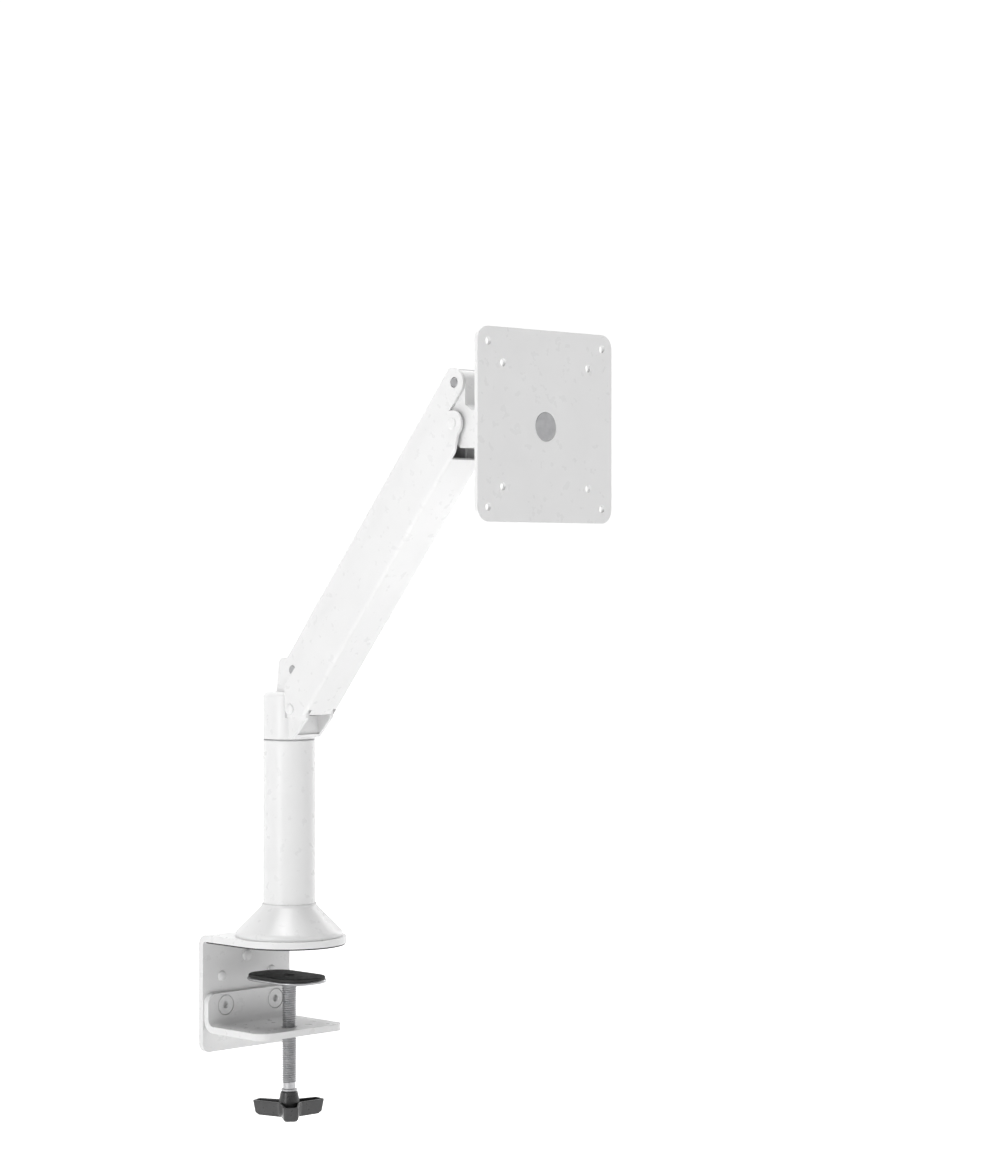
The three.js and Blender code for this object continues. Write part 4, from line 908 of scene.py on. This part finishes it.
def head_casting():
    """The turned barrel, the open wedge in front of it and the two cheeks that hold the pivots."""
    bottom = Span("head_casting").z0
    top = UPPER.z + BOSS_R
    radius = Span("column_tube").x1
    shoulder_r, shoulder_z = 4, 165.6
    pocket_floor = ROOT.z - 6.5
    made = turned([
        (0, bottom), (radius - 0.35, bottom), (radius, bottom + 0.35),
        *arc(radius - shoulder_r, shoulder_z, shoulder_r, 0, 90, 12), (0, shoulder_z + shoulder_r),
    ], facets=FINE)
    for low, high in ((-FAR, -WEDGE_OUT), (WEDGE_OUT, FAR)):
        cut(made, block(low, high, -FAR, ROOT.y + 5.6, pocket_floor + 0.5, FAR + top))
    floor = bottom + 1.1
    wedge = prism(rounded([
        (-8, floor), (-17.4, floor, 1), (-30.9, floor + 13.7, 1), (ROOT.y - 14.4, ROOT.z - 1, 2),
        (ROOT.y - 8, ROOT.z + BOSS_R, 3), (-8, ROOT.z + BOSS_R),
    ]), "x", -WEDGE_OUT, WEDGE_OUT)
    wedge_floor = floor + 2.3
    cut(wedge, block(-WEDGE_IN, WEDGE_IN, -FAR, WEDGE_BACK, wedge_floor, FAR + top))
    cheeks = prism(rounded([
        (ROOT.y - BOSS_R, ROOT.z - BOSS_R, BOSS_CORNER), (POCKET_BACK + 3, ROOT.z - BOSS_R),
        (POCKET_BACK + 3, shoulder_z), (POCKET_BACK, top, 5), (ROOT.y - BOSS_R, top, BOSS_CORNER),
    ], BOSS_ARC), "x", -CHEEK_OUT, CHEEK_OUT)
    join(made, wedge, cheeks)
    sill = pocket_floor + 1.6
    cut(
        made, block(-CHEEK_IN, CHEEK_IN, -FAR, POCKET_BACK, sill, FAR + top),
        block(-WEDGE_IN, WEDGE_IN, -FAR, WEDGE_BACK, wedge_floor, sill + 0.1),
        block(-CHEEK_IN, CHEEK_IN, -16.6, POCKET_BACK, pocket_floor, sill + 1),
    )
    bridge_top = UPPER.z + 0.2
    bridge_half, bridge_front = CHEEK_OUT - 1, TENSION_AXIS[1] - 4
    join(made, block(
        -bridge_half, bridge_half, bridge_front, POCKET_BACK + 0.5, bridge_top - 4.5, bridge_top,
    ))
    cut(
        made, cross_hole(PIN_HOLE_R, ROOT.y, ROOT.z), cross_hole(PIN_HOLE_R, UPPER.y, UPPER.z),
        rod(3, bridge_top - 6, bridge_top + 1, at=TENSION_AXIS),
        rod(8.3, bottom - 1, Span("swivel_spindle").z1 + GAP),
    )
    return dress(made, "swivel_head", "head_casting", 0.45)


def head_sleeve(place, at):
    sleeve = Span(f"head_sleeve_{place}")
    made = ring(PIN_HOLE_R, 4.5, sleeve.x0, sleeve.x1, "x", (0, at.y, at.z))
    return dress(made, f"pivot_sleeve_{place}", f"head_sleeve_{place}", 0.1)


def tension_block():
    nut = Span("tension_block")
    foot = pivot("spring_swing")
    made = block(nut.x0, nut.x1, nut.y0, nut.y1, nut.z0, nut.z1)
    cut(
        made, block(-3.9, 3.9, -FAR, -10, nut.z0 - 1, nut.z1 + 1), cross_hole(2.8, foot.y, foot.z),
        rod(3, nut.z0 - 1, nut.z1 + 1, at=TENSION_AXIS),
    )
    return dress(made, "tension_shoe", "tension_block", 0.3)


def tension_screw():
    screw = Span("tension_screw")
    seat = screw.z1 - 4.9
    profile = [(0, 2.1), (0.2, 2.1), (0.55, 2.7), (0.75, 2.7)]
    thread = threaded_rod(1.0, profile, screw.z0, seat - 5)
    made = moved(thread, Matrix.Translation(TENSION_AXIS))
    head = turned([
        (0, seat - 5.4), (2.7, seat - 5.4), (2.7, seat), (4, seat), (4, screw.z1 - 0.5),
        (3.5, screw.z1), (0, screw.z1),
    ], at=TENSION_AXIS)
    join(made, head)
    cut(made, hexagon(4, screw.z1 - 3, screw.z1 + 1, at=TENSION_AXIS))
    return dress(made, "tension_adjusting_screw", "tension_screw", 0)


def cross_pin(node, name, radius, at):
    """A pin across the arm with chamfered ends."""
    pin = Span(node)
    made = chamfered_rod(radius, pin.x0, pin.x1, 0.4, "x", (0, at.y, at.z))
    return dress(made, name, node, 0)


# ---- links -----------------------------------
# A link is drawn lying along -Y from its root pivot and raised to the arm's slope.
LINK_HALF_W, LINK_SHEET, LINK_FLOOR, LINK_TOP = 14, 1.8, -13.3, 14
UPPER_HALF_W, UPPER_SHEET, UPPER_TOP = 11.8, 1.6, 10.6
ANCHOR_S, ANCHOR_T = 196, -9
SPRING_PIN_R = 2.5


def raised(made, at):
    move = Matrix.Translation((0, at.y, at.z)) @ Matrix.Rotation(-LIFT, 4, "X")
    return moved(made, move)


def on_link(at, s, t):
    """A point along a link and above its pivot line, in the object's own frame."""
    return Matrix.Translation((0, at.y, at.z)) @ Matrix.Rotation(-LIFT, 4, "X") @ Vector((0, -s, t))


def along_link(corners, steps=ARC):
    """(along, above, radius) corners as (y, z) points."""
    return rounded([(-corner[0], *corner[1:]) for corner in reversed(corners)], steps)


def at_rest(dy, dz):
    """A level or upright offset from the root pivot, in the link's own directions."""
    return (-dy * math.cos(LIFT) + dz * math.sin(LIFT), dy * math.sin(LIFT) + dz * math.cos(LIFT))


def lower_link():
    """The deep lower link: two walls and an underside plate with rounded edges."""
    end = LINK_LENGTH
    back_y, chin_z, nose_r = 5.3, -3.8, 8.3
    inner = LINK_HALF_W - LINK_SHEET
    floor_top = LINK_FLOOR + LINK_SHEET
    chin = at_rest((LINK_FLOOR - chin_z * math.cos(LIFT)) / math.sin(LIFT), chin_z)
    nape = at_rest(back_y, (LINK_TOP - back_y * math.sin(LIFT)) / math.cos(LIFT))
    walls = along_link([
        (*at_rest(back_y, chin_z), 4.5), (*chin, 1), (end - 12, LINK_FLOOR, 12), (end - 2, -nose_r, 1),
        (end + nose_r, -nose_r, nose_r - 0.1), (end + nose_r, nose_r, nose_r - 0.1),
        (end - 2, nose_r, 1), (end - 14, LINK_TOP, 12), (*nape, 2),
    ], SMOOTH_ARC)
    section = panel(LINK_HALF_W, LINK_FLOOR, FAR, low_r=2.4, steps=SMOOTH_ARC)
    hollow = panel(inner, floor_top, FAR, low_r=1)
    made = keep(
        prism(walls, "x", -LINK_HALF_W - 1, LINK_HALF_W + 1), prism(section, "y", -end - FAR, FAR),
    )
    cut(
        made, prism(hollow, "y", -end - FAR - 1, FAR + 1),
        block(-inner, inner, -end - FAR, 18 - end, -FAR, FAR),
    )
    slot, slot_half_w, slot_end = (WEDGE_IN + WEDGE_OUT) / 2, 1.4, -10.8
    for x in (-slot, slot):
        cut(made, block(x - slot_half_w, x + slot_half_w, slot_end, back_y, -FAR, floor_top + 0.5))
    cut(made, cross_hole(PIN_GRIP_R, 0, 0), cross_hole(PIN_GRIP_R, -end, 0))
    return dress(raised(made, ROOT), "lower_arm_shell", "lower_link", 0.35)


def upper_link():
    """The upper link: a cover over the spring with deep skirts between its ends."""
    end = LINK_LENGTH
    inner = UPPER_HALF_W - UPPER_SHEET
    skirt_end, skirt_z = ANCHOR_S - 2, -22
    skirt = along_link([
        (-BOSS_R, -BOSS_R, BOSS_CORNER), (14, -BOSS_R, 3), (34, skirt_z, 6), (skirt_end, skirt_z, 6),
        (skirt_end + 20, -BOSS_R, 3), (end + BOSS_R, -BOSS_R, BOSS_CORNER),
        (end + BOSS_R, UPPER_TOP, 9), (-BOSS_R, UPPER_TOP, 9),
    ], SMOOTH_ARC)
    section = panel(UPPER_HALF_W, -FAR, UPPER_TOP, high_r=2.2, steps=SMOOTH_ARC)
    hollow = panel(inner, -FAR - 1, UPPER_TOP - UPPER_SHEET, high_r=0.9)
    made = keep(
        prism(skirt, "x", -UPPER_HALF_W - 1, UPPER_HALF_W + 1), prism(section, "y", -end - FAR, FAR),
    )
    cut(
        made, prism(hollow, "y", -end - FAR - 1, FAR + 1), block(-inner, inner, -6, FAR, -FAR, FAR),
        cross_hole(PIN_GRIP_R, 0, 0), cross_hole(PIN_HOLE_R, -end, 0),
        cross_hole(SPRING_PIN_R + 0.1, -ANCHOR_S, ANCHOR_T),
    )
    return dress(raised(made, UPPER), "upper_arm_shell", "upper_link", 0.35)


def pin_cap(place, side, sign, s):
    """A low domed cap over the end of a lower pivot pin."""
    radius, rim, rise = 3.65, 0.4, 1.08
    crown = [(r, rim + h) for r, h in dome_profile(radius, rise)]
    made = turned([(0, 0), (radius, 0), *crown])
    face = Matrix.Translation((sign * LINK_HALF_W, -s, 0))
    moved(made, face @ Matrix.Rotation(sign * math.pi / 2, 4, "Y"))
    return dress(raised(made, ROOT), f"{place}_cap_{side}", f"{place}_pin_cap_{side}", 0)


# ---- gas spring ------------------------------
SPRING_FOOT = pivot("spring_swing")
ANCHOR = on_link(UPPER, ANCHOR_S, ANCHOR_T)
SPRING_TURN = -math.atan2(ANCHOR.z - SPRING_FOOT.z, SPRING_FOOT.y - ANCHOR.y)
SPRING_LENGTH = math.hypot(ANCHOR.z - SPRING_FOOT.z, SPRING_FOOT.y - ANCHOR.y)
EYE_START = SPRING_LENGTH - 15.9
CASE_R, CASE_BORE_R, CASE_START, CASE_END = 9, 7.6, 26, 140
ROD_R = 4


def on_spring(made):
    """Moves a solid drawn along -Y from the origin onto the spring's line."""
    place = Matrix.Translation((0, SPRING_FOOT.y, SPRING_FOOT.z))
    return moved(made, place @ Matrix.Rotation(SPRING_TURN, 4, "X"))


def spun(profile, facets=ROUND):
    """Turns (radius, distance along the spring) corners."""
    return moved(turned(profile, facets=facets), Matrix.Rotation(math.pi / 2, 4, "X"))


def gas_spring_foot():
    end = CASE_START - GAP
    made = spun([(0, 4), (3.6, 4), (3.6, end), (0, end)])
    join(made, rod(5.2, -3.5, 3.5, "x"))
    cut(made, cross_hole(2.8, 0, 0))
    return dress(on_spring(made), "spring_end_eye", "gas_spring_foot", 0.25)


def gas_spring_tube():
    """A crimped pressure tube with a rolled mouth."""
    start, crimp, end, crimp_r = CASE_START, CASE_END - 7, CASE_END, CASE_R - 0.45
    made = spun([
        (0, start), (CASE_R - 1, start), (CASE_R - 0.3, start + 0.3), (CASE_R, start + 1),
        (CASE_R, crimp), (crimp_r, crimp + 1), (crimp_r, crimp + 2.2), (CASE_R, crimp + 3.2),
        (CASE_R, end - 1.6), (CASE_R - 0.2, end - 0.6), (CASE_R - 0.9, end), (CASE_BORE_R, end),
        (CASE_BORE_R, start + 4), (0, start + 4),
    ], FINE)
    return dress(on_spring(made), "pressure_tube", "gas_spring_tube", 0.15)


def gas_spring_guide():
    bore, radius, low, high = ROD_R + GAP, CASE_BORE_R - GAP, CASE_END - 10, CASE_END - GAP
    made = spun([(bore, low), (radius, low), (radius, high), (bore + 0.6, high), (bore, high - 0.5)])
    return dress(on_spring(made), "rod_guide", "gas_spring_guide", 0.1)


def gas_spring_rod():
    """The rod with its piston inside the tube."""
    piston_r, piston, shoulder, end = CASE_BORE_R - GAP, 90, 96, EYE_START - 0.1
    made = spun([
        (0, piston), (piston_r, piston), (piston_r, shoulder), (ROD_R, shoulder),
        (ROD_R, end - 0.3), (ROD_R - 0.3, end), (0, end),
    ])
    return dress(on_spring(made), "piston_rod", "gas_spring_rod", 0.15)


def gas_spring_eye():
    made = spun([
        (0, EYE_START), (4.2, EYE_START), (4.6, EYE_START + 0.4), (4.6, SPRING_LENGTH - 4),
        (0, SPRING_LENGTH - 4),
    ])
    join(made, rod(8, -4, 4, "x", (0, -SPRING_LENGTH, 0)))
    cut(made, cross_hole(5.3, -SPRING_LENGTH, 0))
    return dress(on_spring(made), "rod_end_eye", "gas_spring_eye", 0.25)


# ---- tip -------------------------------------
PAN = pivot("tip_pan")
TILT = pivot("screen_tilt")
PAN_AXIS = (0, PAN.y, 0)
TILT_AXIS = (0, TILT.y, TILT.z)
ROLL_AXIS = (0, 0, TILT.z)
HUB_R, HUB_HALF_H = 11, 13
WASHER_ROOM = 1.4  # between the hub and each ear of the fork
PAN_BOLT_R = 4
BARREL_R, BARREL_HALF_W = 9, 9.5
ROLL_HOLE_R = 6.3


def tip_bracket():
    """An upright that joins both links' ends, with a hub in front for the pan bolt."""
    hub_low, hub_high = TILT.z - HUB_HALF_H, TILT.z + HUB_HALF_H
    upper_z = TIP.z + UPPER.z - ROOT.z
    made = prism(rounded([
        (TIP.y - BOSS_R, TIP.z - BOSS_R, 2), (TIP.y + BOSS_R, TIP.z - BOSS_R, BOSS_CORNER),
        (TIP.y + BOSS_R, upper_z + BOSS_R, BOSS_CORNER),
        (TIP.y - BOSS_R, upper_z + BOSS_R, BOSS_CORNER),
    ], BOSS_ARC), "x", -CHEEK_OUT, CHEEK_OUT)
    neck = prism(rounded([
        (PAN.y, hub_low + 1.5), (TIP.y - 3, hub_low + 1.5, 3), (TIP.y + 4, TIP.z - 4, 3),
        (TIP.y, hub_high + BOSS_R, 2), (PAN.y + HUB_R, hub_high - 1.5, 3), (PAN.y, hub_high - 1.5),
    ]), "x", -CHEEK_OUT, CHEEK_OUT)
    hub = chamfered_rod(HUB_R, hub_low, hub_high, 0.5, at=PAN_AXIS, facets=FINE)
    join(made, neck, hub)
    cut(
        made, cross_hole(PIN_HOLE_R, TIP.y, TIP.z), cross_hole(PIN_HOLE_R, TIP.y, upper_z),
        rod(PAN_BOLT_R + GAP, hub_low - 1, hub_high + 1, at=PAN_AXIS),
    )
    return dress(made, "arm_tip", "tip_bracket", 0.4)


def pan_washer(place):
    washer = Span(f"pan_washer_{place}")
    made = ring(PAN_BOLT_R + GAP, washer.x1, washer.z0, washer.z1, at=PAN_AXIS, facets=FINE)
    return dress(made, f"friction_washer_{place}", f"pan_washer_{place}", 0.1)


def pan_fork():
    """A fork round the hub that carries the tilt barrel in front."""
    fork = Span("pan_fork")
    ear_low = TILT.z - HUB_HALF_H - WASHER_ROOM
    ear_high = TILT.z + HUB_HALF_H + WASHER_ROOM
    round_r = HUB_R - 0.1
    plan = rounded([
        (-BARREL_HALF_W, PAN.y - 17, 2), (BARREL_HALF_W, PAN.y - 17, 2), (BARREL_HALF_W, PAN.y - 11.5),
        (HUB_R, PAN.y - 8), (HUB_R, PAN.y + HUB_R, round_r), (-HUB_R, PAN.y + HUB_R, round_r),
        (-HUB_R, PAN.y - 8), (-BARREL_HALF_W, PAN.y - 11.5),
    ], BOSS_ARC)
    made = prism(plan, "z", fork.z0, fork.z1)
    cut(made, block(-FAR, FAR, PAN.y - HUB_R - 0.8, PAN.y + FAR, ear_low, ear_high))
    join(made, rod(BARREL_R, -BARREL_HALF_W, BARREL_HALF_W, "x", TILT_AXIS, FINE))
    cut(
        made, cross_hole(PIN_HOLE_R, TILT.y, TILT.z),
        rod(PAN_BOLT_R + 0.1, fork.z0 - 1, fork.z1 + 1, at=PAN_AXIS),
    )
    return dress(made, "pan_yoke", "pan_fork", 0.4)


def pan_bolt():
    """A socket-head bolt down through the fork and the hub."""
    bolt = Span("pan_bolt")
    seat = Span("pan_fork").z1 + 0.1
    r, head_r, chamfer = PAN_BOLT_R, 7, 0.6
    made = turned([
        (0, bolt.z0), (r - chamfer, bolt.z0), (r, bolt.z0 + chamfer), (r, seat), (head_r, seat),
        (head_r, bolt.z1 - chamfer), (head_r - chamfer, bolt.z1), (0, bolt.z1),
    ], at=PAN_AXIS, facets=FINE)
    cut(made, hexagon(5, bolt.z1 - 2.8, bolt.z1 + 1, at=PAN_AXIS))
    return dress(made, "pan_socket_bolt", "pan_bolt", 0.12)


def chamfered_nut(across_flats, bore_r, low, high, axis, at):
    """A hexagonal nut whose corners are turned off at both faces."""
    corner = across_flats / math.sqrt(3)
    made = hexagon(across_flats, low, high, axis, at)
    bite = 0.7
    keep(made, turned([
        (0, low), (corner - 1.1, low), (corner + 0.1, low + bite), (corner + 0.1, high - bite),
        (corner - 1.1, high), (0, high),
    ], axis, at, FINE))
    return cut(made, rod(bore_r, low - 1, high + 1, axis, at))


def pan_nut():
    nut = Span("pan_nut")
    made = chamfered_nut(13, PAN_BOLT_R + 0.1, nut.z0, nut.z1, "z", PAN_AXIS)
    return dress(made, "pan_lock_nut", "pan_nut", 0.12)


def screen_carrier():
    """Two cheeks that hold the tilt barrel and a round web that carries the screen plate."""
    carrier = Span("screen_carrier")
    web_front = carrier.y0
    web_back = web_front + 4
    r, inner, outer = BARREL_R, BARREL_HALF_W + GAP, BARREL_HALF_W + GAP + 3
    cheek = prism(rounded([
        (web_front + 1, TILT.z - 14), (web_back + 1, TILT.z - 14, 2), (TILT.y, TILT.z - r, 1),
        (TILT.y + r, TILT.z - r, r - 0.1), (TILT.y + r, TILT.z + r, r - 0.1), (TILT.y, TILT.z + r, 1),
        (web_back + 1, TILT.z + 14, 2), (web_front + 1, TILT.z + 14),
    ], BOSS_ARC), "x", -outer, outer)
    cut(cheek, block(-inner, inner, web_front - FAR, TILT.y + FAR, TILT.z - FAR, TILT.z + FAR))
    web = rod(26, web_front, web_back, "y", ROLL_AXIS, FINE)
    made = join(web, cheek)
    cut(
        made, cross_hole(PIN_HOLE_R, TILT.y, TILT.z),
        rod(ROLL_HOLE_R, web_front - 1, web_back + 1, "y", ROLL_AXIS),
    )
    return dress(made, "tilt_carrier", "screen_carrier", 0.4)


def tilt_bolt():
    """A button-head bolt through the carrier's cheeks."""
    bolt = Span("tilt_bolt")
    seat = BARREL_HALF_W + GAP + 3.1
    crown = [(r, seat + 0.7 + h) for r, h in dome_profile(5.4, 3.0)][:-2]
    made = turned([
        (0, bolt.x0), (2.5, bolt.x0), (3, bolt.x0 + 0.5), (3, seat), (5.4, seat), *crown,
        (0, crown[-1][1]),
    ], "x", TILT_AXIS, FINE)
    cut(made, hexagon(4, crown[-1][1] - 2.2, crown[-1][1] + 2, "x", TILT_AXIS))
    return dress(made, "tilt_button_bolt", "tilt_bolt", 0.08)


def tilt_nut():
    nut = Span("tilt_nut")
    made = chamfered_nut(11, 3.1, nut.x0, nut.x1, "x", TILT_AXIS)
    return dress(made, "tilt_lock_nut", "tilt_nut", 0.12)


def roll_washer():
    washer = Span("roll_washer")
    made = ring(ROLL_HOLE_R, washer.x1, washer.y0, washer.y1, "y", ROLL_AXIS, FINE)
    return dress(made, "roll_friction_washer", "roll_washer", 0.1)


def roll_rivet():
    """A large rivet with a flush countersunk head and a spread tail."""
    rivet = Span("roll_rivet")
    tail, head = rivet.y1, rivet.y0
    made = turned([
        (0, head), (8.8, head), (9, head + 0.2), (6, head + 2.2), (6, tail - 1.6), (8.6, tail - 1.6),
        (8.6, tail - 0.8), (7.9, tail - 0.1), (5.2, tail), (4.4, tail - 0.5), (0, tail - 0.6),
    ], "y", ROLL_AXIS, FINE)
    return dress(made, "roll_pivot_rivet", "roll_rivet", 0.08)


def screen_plate():
    """The square plate with a sunk hole for the roll rivet and both standard hole patterns."""
    plate = Span("screen_plate")
    front, back = plate.y0, plate.y1
    made = prism(rectangle(plate.x0, plate.z0, plate.x1, plate.z1, 9), "y", front, back)
    cut(made, turned([
        (0, back + 1), (ROLL_HOLE_R, back + 1), (ROLL_HOLE_R, front + 2.2), (9.3, front + 0.2),
        (9.3, front - 1), (0, front - 1),
    ], "y", ROLL_AXIS, FINE))
    for half in (75 / 2, 100 / 2):
        for x in (-half, half):
            for z in (-half, half):
                cut(made, rod(2.4, front - 1, back + 1, "y", (x, 0, TILT.z + z), 32))
    return dress(made, "square_screen_plate", "screen_plate", 0.3)


# ---- the whole arm ---------------------------
def build():
    for make in (
        clamp_bracket, desk_pad, lower_bracket, pressure_rubber, pressure_plate, clamp_screw,
        pad_rivet, clamp_knob, column_foot, base_cover, column_tube, swivel_bush, swivel_spindle,
        retaining_ring, head_casting, tension_block, tension_screw, lower_link, upper_link,
        gas_spring_foot, gas_spring_tube, gas_spring_guide, gas_spring_rod, gas_spring_eye,
        tip_bracket, pan_fork, pan_bolt, pan_nut, screen_carrier, tilt_bolt, tilt_nut,
        roll_washer, roll_rivet, screen_plate,
    ):
        make()
    sides = (("left", -1), ("right", 1))
    for side, _ in sides:
        bracket_screw(side)
    for place in PLUG_PLACES:
        hole_plug(place)
    for number in FOOT_SCREWS:
        foot_screw(number)
    head_sleeve("lower", ROOT)
    head_sleeve("upper", UPPER)
    for place in ("lower", "upper"):
        pan_washer(place)
    for place, s in (("root", 0), ("tip", LINK_LENGTH)):
        cross_pin(f"{place}_lower_pin", f"{place}_pivot_pin_lower", PIN_R, on_link(ROOT, s, 0))
        cross_pin(f"{place}_upper_pin", f"{place}_pivot_pin_upper", PIN_R, on_link(UPPER, s, 0))
        for side, sign in sides:
            pin_cap(place, side, sign, s)
    cross_pin("spring_anchor_pin", "spring_upper_pin", SPRING_PIN_R, ANCHOR)
    cross_pin("spring_foot_pin", "spring_lower_pin", SPRING_PIN_R, SPRING_FOOT)


make_camera()
make_lights()
make_studio()
make_floor()
build()
